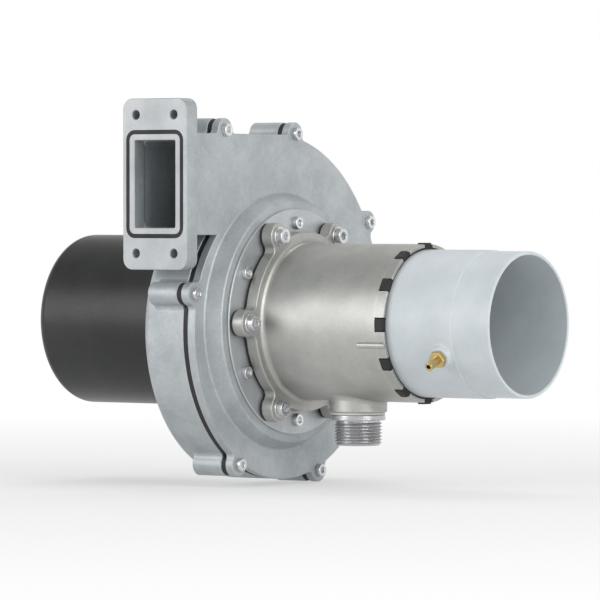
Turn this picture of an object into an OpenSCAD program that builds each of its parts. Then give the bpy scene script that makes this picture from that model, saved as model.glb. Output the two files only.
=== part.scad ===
// Combustion fan of a wall-hung condensing boiler: a cast spiral scroll with a shrouded impeller,
// an electronically commutated motor behind it and a venturi mixer for air and gas before it.
// Every piece is drawn in the fan's own frame, with the shaft along z, the air inlet at +z and y up.
// It is then placed with the middle of the outlet face at the origin, inlet at +X, outlet at -Y.

/* [Scroll] */
// inside radius of the spiral from the outlet side to the bottom
scroll_r = 80.5; // [79:0.5:84]
// growth of the spiral's radius from one quarter to the next
scroll_step = 8; // [7:0.25:9]
// wall thickness of the scroll castings
wall = 4; // [3.5:0.25:5]
// inside width of the scroll and of its outlet, along the shaft
scroll_w = 28; // [26:0.5:32]
// rounding of the scroll's outer back edge
back_round = 6; // [4.5:0.5:8]
// rounding of the scroll's inner back edge
inner_round = 3; // [2:0.5:4]
// thickness of the rubber seal between body and cover
seal_t = 3; // [2:0.25:4]
// thickness of the cover's rim
rim_t = 5; // [4:0.25:6]
// width of the cover's flat rim, from the spiral's inside
rim_w = 5; // [4:0.5:7]
// height of the cover's raised middle above its rim
raised_h = 9; // [8:0.5:11]
// width of the slope round the raised middle
raised_slope = 4; // [2:0.5:5]
// thickness of the raised middle's front
raised_t = 6; // [5:0.25:7]

/* [Rim lugs] */
// radius of the screw lugs round the rim
lug_r = 6.5; // [6:0.25:7.5]
// distance of a lug's middle outside the scroll wall
lug_out = 2; // [1.5:0.25:3]
// depth of the lugs on the body
lug_h = 20; // [14:1:20]
// metal left under the tapped hole of a lug
lug_floor = 3; // [2:0.5:4]
// number of lugs round the spiral
lug_count = 6; // [5:1:6]
// angle of the first lug, under the outlet flange
lug_first = 165; // [163:1:168]
// angle of the second lug, at the bottom
lug_second = 240; // [236:1:244]
// angle from the second lug to the next, and so on round the spiral
lug_turn = 50; // [48:1:51]
// distance of the lug on the outlet from the shaft
outlet_lug_x = 52; // [46:1:58]

/* [Outlet] */
// inside height of the outlet
outlet_h = 48; // [44:1:50]
// distance of the outlet face outside the scroll wall
outlet_out = 7; // [6:0.25:12]
// thickness of the outlet flange
flange_t = 10; // [9:0.5:11]
// margin of the flange over its bolts in height
flange_margin_y = 9; // [8:0.5:12]
// margin of the flange over its bolts along the shaft
flange_margin_x = 9; // [8:0.5:12]
// rounding of the flange's corners
flange_round = 6; // [3:0.5:8]
// bolt spacing of the outlet flange along the shaft
bolt_dx = 26; // [22:1:28]
// distance of the bolts above and below the outlet
bolt_out = 14; // [13:0.5:16]
// radius of the tapped holes in the outlet flange
bolt_hole_r = 2.5; // [2.1:0.1:2.8]
// depth of the tapped holes in the outlet flange
bolt_hole_d = 8; // [6:0.5:8.5]
// thickness of the rubber lip between the outlet flange and the cover
lip_t = 1.5; // [1:0.25:2]
// width of the seal in the outlet face
face_seal_w = 3; // [2.5:0.25:3.5]
// distance of that seal from the outlet's edge
face_seal_out = 3; // [2:0.25:4]
// depth of that seal's groove
face_seal_d = 2.5; // [2:0.25:3]

/* [Impeller] */
// gap between the impeller's rim and the spiral, level with the shaft at the outlet side
tip_gap = 9; // [7:0.5:11]
// gap between the impeller's back disc and the scroll's back wall
back_gap = 3; // [2.5:0.25:4]
// number of blades
blade_count = 10; // [7:1:12]
// sheet thickness of the blades
blade_t = 1.2; // [1:0.1:2]
// distance of the blades from the eye
blade_back = 2.5; // [2:0.5:6]
// blade angle at the inner end, from the tangent
blade_in_angle = 30; // [25:1:35]
// blade angle at the rim, from the tangent
blade_out_angle = 45; // [40:1:50]
// blade width at the rim
tip_w = 13; // [11:0.5:14]
// blade width at the eye
eye_w = 20; // [18:0.5:21]
// thickness of the back disc
disc_t = 1.5; // [1:0.1:2]
// sheet thickness of the shroud
shroud_t = 1.2; // [1:0.1:1.5]
// inside radius of the eye collar
eye_r = 36.5; // [35.5:0.25:37.5]
// length of the eye collar
eye_len = 5; // [4:0.5:6]
// radius of the hub's barrel
hub_r = 8.5; // [8:0.25:9]
// width of the hub's flange
hub_flange_w = 7.5; // [7:0.25:10]
// thickness of the hub's flange
hub_flange_t = 2; // [1.5:0.25:3]
// length of the hub before the back disc
hub_len = 13; // [11:0.5:15]
// length of the hub behind the back disc
hub_back_len = 1.5; // [1:0.25:1.75]
// number of rivets between hub and disc
rivet_count = 5; // [4:1:6]
// radius of a rivet
rivet_r = 1.5; // [1.25:0.05:1.75]
// width and height of a rivet's head beyond its shank
rivet_head = 0.8; // [0.6:0.1:1]
// width of the impeller nut over its corners, halved
nut_r = 5.8; // [5.5:0.1:6.2]
// height of the impeller nut
nut_h = 5; // [4:0.25:6]
// width and thickness of the nut's flange
nut_flange = 1; // [0.75:0.25:1.5]

/* [Inlet nozzle] */
// gap between the nozzle and the eye collar
eye_gap = 2; // [1.5:0.25:2.5]
// length of the nozzle inside the eye collar
nozzle_in = 6; // [4:0.5:7]
// radius of the nozzle's rounded mouth
mouth_round = 6; // [5:0.25:7]
// sheet thickness of the nozzle
nozzle_t = 1.5; // [1.2:0.1:1.8]
// gap between the nozzle and the hole in the cover
inlet_gap = 2; // [1.5:0.25:3]
// gap between the washers round the inlet and the foot of the mixer's tube
ring_gap = 3; // [2:0.25:4]
// screws of each size round the inlet
ring_count = 6; // [5:1:6]
// margin of the nozzle plate over the mixer's lobes
plate_margin = 0.5; // [0.25:0.25:1.5]

/* [Mixer] */
// thickness of the mixer's gasket
mixer_gasket_t = 1.5; // [1:0.25:2]
// thickness of the mixer's flange
mixer_flange_t = 7; // [6:0.5:8]
// gap between the mixer's flange and the small screws
waist_gap = 1.4; // [1:0.1:2]
// radius of the flange's lobes
lobe_r = 7.5; // [7:0.25:8]
// wall thickness of the tube round the adapter's seat
seat_wall = 2; // [1.8:0.1:2.6]
// step from the adapter's seat to the bore
seat_step = 2.5; // [2:0.1:3]
// rounding between the mixer's flange and tube
tube_fillet = 3; // [2:0.25:3.5]
// length of the mixer in front of its gasket
mixer_len = 88.5; // [86:0.5:94]
// length of the wider seat at the tube's end
seat_len = 14; // [13:0.5:16]
// number of notches in the tube's end
notch_count = 12; // [10:1:13]
// width of a notch
notch_w = 8; // [6:0.5:9]
// depth of a notch
notch_d = 6; // [5:0.5:7]
// length of the locating bead on the tube
bead_len = 18; // [14:1:22]
// radius of the locating bead
bead_r = 1.8; // [1.5:0.1:2.2]

/* [Venturi and gas inlet] */
// inside radius of the venturi's throat
throat_r = 21; // [19:0.5:23]
// length of the straight throat
throat_len = 4; // [3:0.5:6]
// wall thickness of the venturi pieces
venturi_t = 2; // [1.5:0.25:2.5]
// seat length of the venturi pieces in the tube
venturi_seat = 4; // [3:0.5:5]
// width of the gas gap in the throat
gas_gap = 3; // [2:0.25:4]
// distance of the gas inlet from the mixer's flange face
gas_z = 41; // [39:0.5:44]
// radius of the boss on the mixer
gas_boss_r = 16; // [15.5:0.25:18]
// height of the boss over the mixer's tube
gas_boss_h = 6; // [5:0.25:8]
// radius of the gas stub's thread
stub_r = 13.2; // [12.5:0.1:13.6]
// length of the gas stub's thread
stub_len = 14; // [12:0.5:18]
// width of the gas stub's collar over its thread
collar_w = 1.8; // [1.2:0.1:2.2]
// thickness of the gas stub's collar
collar_t = 3; // [2:0.25:4]
// radius of the stub's shank in the boss
shank_r = 11; // [10.5:0.1:12]
// depth of the shank in the boss
shank_d = 5; // [4:0.25:5.5]
// radius of the gas passage
gas_r = 8.5; // [7:0.25:9.5]
// thickness of the sealing washer
stub_washer_t = 1.5; // [1:0.25:2]

/* [Air adapter] */
// outside radius of the adapter's end, on which the hose is pushed
spigot_r = 40; // [39:0.25:41]
// length of that end
spigot_len = 24; // [20:1:40]
// step from that end to the adapter's body
spigot_step = 0.6; // [0.4:0.1:1]
// wall thickness of the air adapter
adapter_wall = 2.6; // [2.2:0.1:3]
// length of the adapter's body outside the mixer
adapter_len = 42; // [42:1:60]
// gap between the adapter's end and the bottom of its seat
adapter_gap = 1; // [0.5:0.25:2]
// rubber thickness between the adapter and the mixer
rubber_t = 1; // [0.8:0.05:1.2]
// set-back of the rubber from both ends of its seat
rubber_back = 2; // [1:0.25:3]
// height of the rubber lugs above the tube
rubber_up = 0.7; // [0.4:0.1:1.2]
// gap between a rubber lug and its notch
rubber_gap = 0.5; // [0.3:0.1:0.8]
// distance of the pressure nipple from the mixer's end
nipple_z = 34; // [28:1:34]
// angle of the pressure nipple round the adapter
nipple_angle = 204; // [200:1:225]
// radius of the adapter's boss under the nipple
nipple_boss_r = 6; // [5.5:0.25:7]
// height of that boss over the adapter
nipple_boss_h = 3; // [2:0.25:4]
// width of the boss over the nipple's hexagon
nipple_margin = 1; // [0.5:0.25:1.5]
// height of the nipple's hexagon
nipple_hex_h = 3; // [2.5:0.25:4]
// radius of the nipple's stem
nipple_r = 2.5; // [2.2:0.1:3]
// length of the nipple's stem
nipple_len = 8; // [6:0.5:12]
// radius of the nipple's bore
nipple_bore_r = 1.25; // [1:0.05:1.4]

/* [Motor housing] */
// height of the motor pad on the scroll's back wall
pad_t = 3; // [2.5:0.25:4]
// thickness of the motor gasket
motor_gasket_t = 1.5; // [1:0.25:2]
// thickness of the motor flange
motor_flange_t = 6; // [5:0.25:7]
// outside radius of the motor cap
cap_r = 48; // [46:0.5:50]
// wall thickness of the motor cap
cap_wall = 2.5; // [2:0.1:3]
// rounding of the cap's end
cap_round = 6; // [5:0.5:8]
// width of the motor flange round the cap
flange_ring = 2; // [1:0.5:4]
// distance of the motor screws from the cap
ear_out = 9; // [8.5:0.25:12]
// radius of the motor flange's ears
ear_r = 7; // [6:0.25:8]
// number of ears
ear_count = 4; // [3:1:4]
// metal left under the tapped holes for the motor
pad_floor = 1; // [0.75:0.25:1.5]
// radius of the opening for the motor in the scroll
motor_hole_r = 26; // [24:0.5:28]
// set-back of the motor's nose from the scroll's inside
nose_back = 0.5; // [0.25:0.25:1]
// gap between the cap and the motor in it
cap_room = 1.5; // [1.2:0.1:2]
// length of the ring that locates the cap
locate_len = 3; // [2:0.25:4]
// space behind the circuit board
board_room = 14.5; // [14:0.25:18]

/* [Motor] */
// radius of the shaft
shaft_r = 4; // [3.8:0.1:4.2]
// step from the shaft to its thread
shaft_step = 1; // [0.75:0.25:1.25]
// length of the thread beyond the nut
thread_out = 2; // [1:0.25:3]
// wall thickness of the shaft seal
shaft_seal_w = 5; // [4:0.25:6]
// thickness of the shaft seal
shaft_seal_t = 4; // [3:0.25:5]
// gap round the shaft in the motor flange
shaft_gap = 1; // [0.6:0.1:1.5]
// outside radius of the bearings
bearing_r = 11; // [10.8:0.1:11.2]
// width of the bearings
bearing_w = 7; // [6:0.5:7]
// wall thickness of the bearing seats
bearing_wall = 4; // [3:0.25:5]
// length of a bearing seat beyond its bearing
bearing_lip = 1; // [0.5:0.25:1.5]
// set-back of the cages in the bearings
cage_back = 1; // [0.75:0.25:1.25]
// number of balls in a bearing
ball_count = 7; // [6:1:7]
// radius of the balls
ball_r = 1.7; // [1.5:0.1:1.8]
// gap between balls and rings
ball_gap = 0.3; // [0.25:0.05:0.4]
// height of the gap between the rings
race_gap = 2.8; // [2.6:0.1:3]
// thickness of the bearing's spring washer
spring_t = 0.8; // [0.6:0.1:1]
// wall thickness of the cups that grip the stator
cup_wall = 7; // [6.5:0.25:8]
// length of stator in each cup
cup_grip = 5; // [4:0.5:6]
// width of the shoulder on which the stator sits
cup_seat = 2.5; // [2:0.25:3]
// length of the stator
stator_len = 30; // [28:0.5:34]
// space for the coils before the stator
front_room = 20; // [19:0.5:22]
// space for the coils behind the stator
back_room = 11; // [10:0.5:13]
// thickness of the rear shield
shield_t = 4; // [3.5:0.25:5]
// thickness of the stator's yoke, as a share of the stator's radius
yoke_share = 0.175; // [0.15:0.005:0.2]
// number of stator teeth
tooth_count = 6; // [6:1:6]
// width of a stator tooth, as a share of the stator's radius
tooth_share = 0.27; // [0.24:0.01:0.29]
// width of a tooth's head beyond the tooth, on each side
head_w = 3; // [2:0.25:4]
// thickness of a tooth's head
head_t = 2.5; // [2:0.25:3]
// bore of the stator, as a share of its outside radius
bore_share = 0.51; // [0.5:0.01:0.54]
// gap between magnet and stator
air_gap = 0.8; // [0.6:0.1:1]
// thickness of the rotor magnet
magnet_t = 4; // [3:0.25:5]
// overhang of the rotor over the stator at each end
rotor_over = 1; // [0.5:0.25:2]
// space between neighbouring coils
coil_apart = 4; // [3:0.25:6]
// thickness of the coil former
former_t = 0.8; // [0.6:0.1:1]
// gap between a coil and the iron at both of its ends
coil_gap = 0.5; // [0.3:0.1:0.8]

/* [Motor electronics] */
// turn of the board with its sockets round the shaft, from sockets that point down
board_turn = 90; // [0:90:270]
// height of the posts between rear shield and board
board_gap = 6; // [5:0.25:8]
// thickness of the circuit board
board_t = 1.6; // [1.2:0.1:2]
// set-back of the board's edge from the motor's outside
board_back_r = 1; // [0.5:0.25:2]
// number of posts
post_count = 3; // [3:1:3]
// radius of a post
post_r = 3; // [2.75:0.25:3.5]
// width of a post's shoulder
post_step = 2; // [1.5:0.25:2.5]
// wall thickness of the cap's sleeves round the posts
sleeve_wall = 3; // [2.5:0.25:3.5]
// set-back of a post's end from the cap
post_back = 2; // [1:0.25:3]
// radius of the capacitors
capacitor_r = 5.5; // [5:0.25:6]
// length of the capacitors
capacitor_len = 23; // [18:0.5:24]
// gap between the capacitors
capacitor_gap = 2; // [1.5:0.25:3]
// outside radius of the choke
choke_r = 8.5; // [7:0.25:9]
// inside radius of the choke
choke_hole_r = 4; // [3:0.25:5]
// height of the choke
choke_h = 9; // [8:0.25:11]
// length of the driver chips
chip_l = 14; // [12:0.5:16]
// width of the driver chips
chip_w = 10; // [8:0.5:12]
// thickness of the driver chips
chip_t = 3; // [2:0.25:4]
// gap between a driver chip and the cap's sleeve beside it
chip_gap = 1.5; // [1:0.25:3]
// width of a connector socket
socket_w = 20; // [18:0.5:22]
// depth of a connector socket along the shaft
socket_d = 11; // [10:0.5:12]
// gap between the two sockets
socket_gap = 6; // [5:0.5:8]
// height of a socket's mouth over the cap
socket_out = 7; // [5:0.5:10]
// height of a socket from its mouth to its root
socket_h = 21; // [20:0.5:24]
// depth of the hollow in a socket
hollow_d = 15; // [14:0.5:17]
// wall thickness of the sockets
socket_wall = 1.5; // [1.2:0.1:1.8]
// set-back of the pins from the socket's mouth
pin_back = 6; // [5:0.25:7]
// thickness of the pins
pin_t = 1; // [0.8:0.1:1.4]
// number of pins in the power socket
power_count = 3; // [3:1:3]
// gap between the pins in the power socket
power_gap = 4; // [3:0.25:5]
// number of pins in the signal socket
signal_count = 5; // [4:1:5]
// gap between the pins in the signal socket
signal_gap = 2; // [1.5:0.25:2.25]

/* [Screws and gaps] */
// radius of a tapped hole for the fine screws
fine_r = 1.3; // [1.2:0.05:1.4]
// head radius of the fine screws
fine_head_r = 2.6; // [2.4:0.1:3]
// head height of the fine screws
fine_head_h = 2; // [1.6:0.1:2.4]
// length of the fine screws
fine_len = 13; // [10:0.5:14]
// radius of a tapped hole for the small screws
small_r = 1.65; // [1.6:0.05:1.75]
// head radius of the small screws
small_head_r = 3.6; // [3.4:0.1:3.8]
// head height of the small screws
small_head_h = 2.6; // [2.2:0.1:3]
// radius of a tapped hole for the large screws
large_r = 2.1; // [2:0.05:2.3]
// head radius of the large screws
large_head_r = 4.4; // [4.2:0.1:4.8]
// head height of the large screws
large_head_h = 3.4; // [3:0.1:4]
// radius of the tie bolts' heads
tie_head_r = 3; // [2.6:0.1:3.2]
// width of a washer round the screw's head
washer_w = 1; // [0.6:0.1:1.4]
// thickness of the washers
washer_t = 1; // [0.8:0.1:1.4]
// gap at the end of a screw in its tapped hole
end_gap = 1; // [0.5:0.25:1.5]
// gap between a screw and its tapped hole
thread_gap = 0.05; // [0.02:0.01:0.1]
// gap between a screw and a clearance hole
screw_gap = 0.4; // [0.3:0.05:0.5]
// gap between located pieces
seat_gap = 0.1; // [0.05:0.05:0.2]
// gap between turning and standing pieces
run_gap = 0.4; // [0.3:0.05:0.6]
// set-back of a seal from the edges of the pieces it seals
seal_back = 0.4; // [0.2:0.1:0.6]

/* [Hidden] */
$fn = 96;
over = 1;
drive = 0.5;
spiral_start = 90;
last_quarter = 3;

// stations along the shaft, from the end of the motor cap to the end of the air adapter
back_in = -scroll_w / 2;
back_out = back_in - wall;
pad_z = back_out - pad_t;
motor_face = pad_z - motor_gasket_t;
motor_back = motor_face - motor_flange_t;
stator_front = motor_back - front_room;
stator_back = stator_front - stator_len;
shield_front = stator_back - back_room;
shield_back = shield_front - shield_t;
board_front = shield_back - board_gap;
board_back = board_front - board_t;
cap_floor = board_back - board_room;
cap_end = cap_floor - cap_wall;
cover_z = scroll_w / 2;
joint_z = cover_z - seal_t;
rim_front = cover_z + rim_t;
raised_front = rim_front + raised_h;
plate_front = raised_front + nozzle_t;
mixer_face = plate_front + mixer_gasket_t;
lobe_front = mixer_face + mixer_flange_t;
mixer_end = mixer_face + mixer_len;
seat_z = mixer_end - seat_len;
adapter_z = seat_z + adapter_gap;
spigot_z = mixer_end + adapter_len;
adapter_end = spigot_z + spigot_len;

// outlet
outlet_reach = scroll_r + wall + outlet_out;
outlet_top = quarter_r(last_quarter) + scroll_step / 2;
outlet_low = outlet_top - outlet_h;
outlet_mid = (outlet_top + outlet_low) / 2;
flange_back = outlet_reach - flange_t;
bolt_dy = outlet_h + 2 * bolt_out;
flange_h = bolt_dy + 2 * flange_margin_y;
flange_w = bolt_dx + 2 * flange_margin_x;

// mixer
adapter_r = spigot_r + spigot_step;
seat_r = adapter_r + rubber_t;
tube_r = seat_r + seat_wall;
bore_r = seat_r - seat_step;
adapter_bore_r = adapter_r - adapter_wall;
gas_at = mixer_face + gas_z;
gas_boss_end = tube_r + gas_boss_h;
washer_r = large_head_r + washer_w;
ring_r = tube_r + tube_fillet + washer_r + ring_gap;

// scroll cover and inlet
raised_r = scroll_r - scroll_step / 2 - rim_w;
nozzle_r = eye_r - eye_gap - nozzle_t;
mouth_r = nozzle_r + mouth_round;
mouth_z = plate_front - mouth_round;
inlet_r = mouth_r + inlet_gap;
plate_r = ring_r + lobe_r + plate_margin;
waist_r = ring_r - small_head_r - waist_gap;
ring_turn = 180 / ring_count;

// impeller
impeller_r = scroll_r - scroll_step / 2 - tip_gap;
disc_z = back_in + back_gap;
blade_z = disc_z + disc_t;
eye_z = blade_z + eye_w;
eye_top = eye_z + eye_len;
blade_in_r = eye_r + blade_back;
in_tangent = blade_in_r * cos(blade_in_angle);
out_tangent = impeller_r * cos(blade_out_angle);
blade_arc = (pow(impeller_r, 2) - pow(blade_in_r, 2)) / (2 * (out_tangent - in_tangent));
blade_far = sqrt(pow(blade_arc, 2) + pow(blade_in_r, 2) - 2 * blade_arc * in_tangent);
blade_step = 360 / blade_count;
tip_side = pow(impeller_r, 2) + pow(blade_far, 2) - pow(blade_arc, 2);
blade_first = 90 - acos(tip_side / (2 * impeller_r * blade_far));
hub_back = disc_z - hub_back_len;
hub_front = disc_z + hub_len;
hub_flange_r = hub_r + hub_flange_w;
rivet_ring_r = (hub_r + hub_flange_r) / 2;
thread_r = shaft_r - shaft_step;

// motor
cap_in_r = cap_r - cap_wall;
cup_r = cap_in_r - cap_room;
stator_r = cup_r - cup_wall;
tie_r = (stator_r + cup_r) / 2;
ear_ring_r = cap_r + ear_out;
ear_first = 45;
nose_z = back_in - nose_back;
shaft_seal_r = shaft_r + shaft_seal_w;
bearing_seat_r = bearing_r + bearing_wall;
front_bearing_z = stator_front + front_room / 2 - bearing_w / 2;
rear_bearing_z = shield_front + spring_t;
ball_ring_r = (shaft_r + bearing_r) / 2;
groove_r = ball_r + ball_gap;
race_in_r = ball_ring_r - race_gap / 2;
race_out_r = ball_ring_r + race_gap / 2;
stator_bore_r = bore_share * stator_r;
tooth_w = tooth_share * stator_r;
yoke_r = stator_r - yoke_share * stator_r;
magnet_r = stator_bore_r - air_gap;
core_r = magnet_r - magnet_t;
coil_in = stator_bore_r + head_t + coil_gap;
coil_side = coil_in * tan(180 / tooth_count) - coil_apart / 2;
coil_t = coil_side - tooth_w / 2 - former_t;
coil_h = sqrt(pow(yoke_r, 2) - pow(coil_side, 2)) - coil_gap - coil_in;
rotor_back = stator_back - rotor_over;
rotor_len = stator_len + 2 * rotor_over;

// electronics
sleeve_r = post_r + sleeve_wall;
post_ring_r = cup_r - sleeve_r - board_back_r - sleeve_wall;
post_first = board_turn + 90;
post_end = cap_floor + post_back;
chip_x = post_ring_r * sin(180 / post_count) - sleeve_r - chip_gap - chip_l / 2;
socket_x = (socket_w + socket_gap) / 2;
socket_mouth = cap_r + socket_out;
socket_root = socket_mouth - socket_h;

// colours of the materials
cast_grey = [0.66, 0.69, 0.73];
mixer_grey = [0.67, 0.66, 0.63];
sheet_grey = [0.78, 0.79, 0.81];
zinc = [0.82, 0.83, 0.85];
steel = [0.7, 0.71, 0.73];
iron = [0.46, 0.47, 0.49];
rubber_black = [0.08, 0.08, 0.09];
gasket_grey = [0.17, 0.17, 0.18];
cap_black = [0.1, 0.1, 0.11];
pale_plastic = [0.76, 0.8, 0.83];
white_plastic = [0.88, 0.88, 0.85];
brass = [0.78, 0.62, 0.3];
copper = [0.72, 0.42, 0.2];
board_green = [0.1, 0.36, 0.22];

// the fan's own frame set into the frame of the part
module place() {
    translate([0, outlet_reach, -outlet_mid]) rotate([90, 0, 90]) children();
}

// the four quarters of the spiral begin at the top, each with its own centre on a small square
function quarter_r(k) = scroll_r + (k - 1) * scroll_step;
function quarter_at(k) = scroll_step / 2 * [k == 1 || k == 2 ? 1 : -1, k > 1 ? 1 : -1];
function quarter_of(angle) = min(last_quarter, floor((angle - spiral_start) / 90));
function on_spiral(angle, out) = quarter_at(quarter_of(angle))
    + (quarter_r(quarter_of(angle)) + out) * [cos(angle), sin(angle)];

// the lugs run from under the outlet flange round to the top, and one more sits on the outlet
function lug_angle(i) = i == 0 ? lug_first : lug_second + (i - 1) * lug_turn;
function lug_at(i) = i < lug_count ? on_spiral(lug_angle(i), wall + lug_out)
    : [-outlet_lug_x, outlet_top + wall + lug_out];

module at_lugs() {
    for (i = [0 : lug_count]) translate(lug_at(i)) children();
}

module around(count, r, first) {
    for (i = [0 : count - 1]) rotate(first + i * 360 / count) translate([r, 0]) children();
}

module up(z) {
    translate([0, 0, z]) children();
}

module ring(outer, inner, h) {
    difference() {
        cylinder(r = outer, h = h);
        up(-over) cylinder(r = inner, h = h + 2 * over);
    }
}

module disc_with_hole(outer, inner) {
    difference() {
        circle(outer);
        circle(inner);
    }
}

module block(from, to) {
    translate(from) cube(to - from);
}

module rounded(w, h, r) {
    square([w - 2 * r, h], center = true);
    square([w, h - 2 * r], center = true);
    for (x = [-1, 1], y = [-1, 1]) translate([x * (w / 2 - r), y * (h / 2 - r)]) circle(r);
}

// a screw along z with its head at +z, seated on z = 0, for a tapped hole of radius r
module screw(r, length, head_r, head_h) {
    up(-length) cylinder(r = r - thread_gap, h = length + head_h / 2);
    difference() {
        cylinder(r = head_r, h = head_h);
        up(head_h / 2) cylinder(r = head_r * drive, h = head_h, $fn = 6);
    }
}

// outline of the spiral with its straight outlet, grown outwards by dr
module scroll_outline(dr, reach) {
    for (k = [0 : last_quarter]) translate(quarter_at(k)) rotate(spiral_start + 90 * k) intersection() {
        circle(quarter_r(k) + dr);
        square(quarter_r(k) + dr + over);
    }
    square(scroll_step, center = true);
    translate([-reach, outlet_low - dr]) square([reach - scroll_step / 2, outlet_h + 2 * dr]);
}

// outline of the rim pieces, cut back from the outlet flange
module rim_outline(dr, gap) {
    difference() {
        union() {
            scroll_outline(dr, flange_back);
            at_lugs() circle(lug_r + dr - wall);
        }
        translate([gap - flange_back - flange_h, outlet_mid - flange_h / 2 - gap])
            square([flange_h, flange_h + 2 * gap]);
    }
}

// section of a wall with its back edge rounded
module edge_section(r, z0, z1, edge) {
    translate([0, z0]) square([r - edge, z1 - z0]);
    translate([0, z0 + edge]) square([r, z1 - z0 - edge]);
    translate([r - edge, z0 + edge]) circle(edge);
}

module outlet_section(dr, z0, z1, edge) {
    low = outlet_low - dr;
    high = outlet_top + dr;
    translate([low + edge, z0]) square([high - low - 2 * edge, z1 - z0]);
    translate([low, z0 + edge]) square([high - low, z1 - z0 - edge]);
    for (y = [low + edge, high - edge]) translate([y, z0 + edge]) circle(edge);
}

// the spiral as a solid between two stations, with its back edge rounded
module scroll_form(dr, z0, z1, edge, reach) {
    for (k = [0 : last_quarter]) translate(quarter_at(k)) rotate(spiral_start + 90 * k)
        rotate_extrude(angle = 90) edge_section(quarter_r(k) + dr, z0, z1, edge);
    translate([-scroll_step / 2, -scroll_step / 2, z0]) cube([scroll_step, scroll_step, z1 - z0]);
    translate([-reach, 0, 0]) rotate([90, 0, 90]) linear_extrude(reach - scroll_step / 2)
        outlet_section(dr, z0, z1, edge);
}

// drawing on the outlet face, with height along x and the shaft along y, extruded into the part
module on_outlet(depth) {
    translate([-outlet_reach, outlet_mid, 0]) rotate([90, 0, 90]) linear_extrude(depth) children();
}

module outlet_ring(grow) {
    width = face_seal_w - 2 * grow;
    inner_h = outlet_h + 2 * (face_seal_out + grow);
    inner_w = scroll_w + 2 * (face_seal_out + grow);
    difference() {
        rounded(inner_h + 2 * width, inner_w + 2 * width, flange_round / 2 + width);
        rounded(inner_h, inner_w, flange_round / 2);
    }
}

module outlet_bolts() {
    for (y = [-1, 1], z = [-1, 1]) translate([y * bolt_dy / 2, z * bolt_dx / 2]) children();
}

// outline of the motor flange with its ears
module motor_outline(grow) {
    circle(cap_r + flange_ring + grow);
    around(ear_count, ear_ring_r, ear_first) {
        circle(ear_r + grow);
        translate([-ear_out, -ear_r - grow]) square([ear_out, 2 * (ear_r + grow)]);
    }
}

// motor-side half of the scroll, cast with its outlet, flange, rim lugs and motor pad
module scroll_body() {
    color(cast_grey) difference() {
        union() {
            scroll_form(wall, back_out, joint_z, back_round, flange_back);
            on_outlet(flange_t) rounded(flange_h, flange_w, flange_round);
            at_lugs() up(joint_z - lug_h) cylinder(r = lug_r, h = lug_h);
            up(pad_z) linear_extrude(pad_t + wall / 2) motor_outline(over);
        }
        scroll_form(0, back_in, joint_z + over, inner_round, flange_back);
        on_outlet(flange_t + over) square([outlet_h, scroll_w], center = true);
        on_outlet(face_seal_d) outlet_ring(0);
        on_outlet(bolt_hole_d) outlet_bolts() circle(bolt_hole_r);
        up(pad_z - over) cylinder(r = motor_hole_r, h = pad_t + wall + 2 * over);
        around(ear_count, ear_ring_r, ear_first) up(pad_z - over)
            cylinder(r = large_r, h = pad_t + wall - pad_floor + over);
        at_lugs() up(joint_z - lug_h + lug_floor) cylinder(r = small_r, h = lug_h);
    }
}

// rubber seal in the groove of the outlet face, level with it
module outlet_seal() {
    color(rubber_black) on_outlet(face_seal_d) outlet_ring(seat_gap);
}

// rubber seal between the two halves, with an eye at every lug and a lip against the outlet flange
module scroll_seal() {
    color(rubber_black) {
        up(joint_z) linear_extrude(seal_t) difference() {
            rim_outline(wall - seal_back, 0);
            scroll_outline(0, flange_back + over);
            at_lugs() circle(small_r + screw_gap);
        }
        up(cover_z) linear_extrude(rim_t - seal_back) difference() {
            rim_outline(wall - seal_back, 0);
            rim_outline(wall, lip_t);
        }
    }
}

// inlet-side half of the scroll, with a raised middle round the inlet
module scroll_cover() {
    color(cast_grey) difference() {
        union() {
            up(cover_z) linear_extrude(rim_t) rim_outline(wall, lip_t);
            up(rim_front) cylinder(r1 = raised_r, r2 = raised_r - raised_slope, h = raised_h);
        }
        up(cover_z - over)
            cylinder(r = raised_r - raised_slope - wall, h = raised_front - raised_t - cover_z + over);
        up(cover_z) cylinder(r = inlet_r, h = raised_front - cover_z + over);
        at_lugs() up(cover_z - over) cylinder(r = small_r + screw_gap, h = rim_t + 2 * over);
        around(ring_count, ring_r, 0) up(cover_z) cylinder(r = large_r, h = raised_front - cover_z + over);
        around(ring_count, ring_r, ring_turn) up(cover_z)
            cylinder(r = small_r, h = raised_front - cover_z + over);
    }
}

// screws that hold the cover on the body
module scroll_screws() {
    color(zinc) at_lugs() up(rim_front)
        screw(small_r, rim_t + seal_t + lug_h - lug_floor - end_gap, small_head_r, small_head_h);
}

// pressed inlet nozzle that reaches into the impeller's eye
module inlet_nozzle() {
    tip_z = eye_top - nozzle_in;
    color(sheet_grey) difference() {
        rotate_extrude() {
            translate([mouth_r, raised_front]) square([plate_r - mouth_r, nozzle_t]);
            translate([nozzle_r, tip_z]) square([nozzle_t, mouth_z - tip_z]);
            translate([mouth_r, mouth_z]) rotate(90) intersection() {
                disc_with_hole(mouth_round, mouth_round - nozzle_t);
                square(mouth_round + over);
            }
        }
        around(2 * ring_count, ring_r, 0) up(raised_front - over)
            cylinder(r = large_r + screw_gap, h = nozzle_t + 2 * over);
    }
}

// small screws that hold the nozzle on the cover, between the lobes of the mixer
module nozzle_screws() {
    color(zinc) around(ring_count, ring_r, ring_turn) up(plate_front)
        screw(small_r, nozzle_t + raised_t, small_head_r, small_head_h);
}

// outline of the mixer's foot, with a lobe at every large screw
module lobed(grow, inner) {
    difference() {
        union() {
            circle(waist_r + grow);
            around(ring_count, ring_r, 0) circle(lobe_r + grow);
        }
        circle(inner);
        around(ring_count, ring_r, 0) circle(large_r + screw_gap);
    }
}

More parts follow.
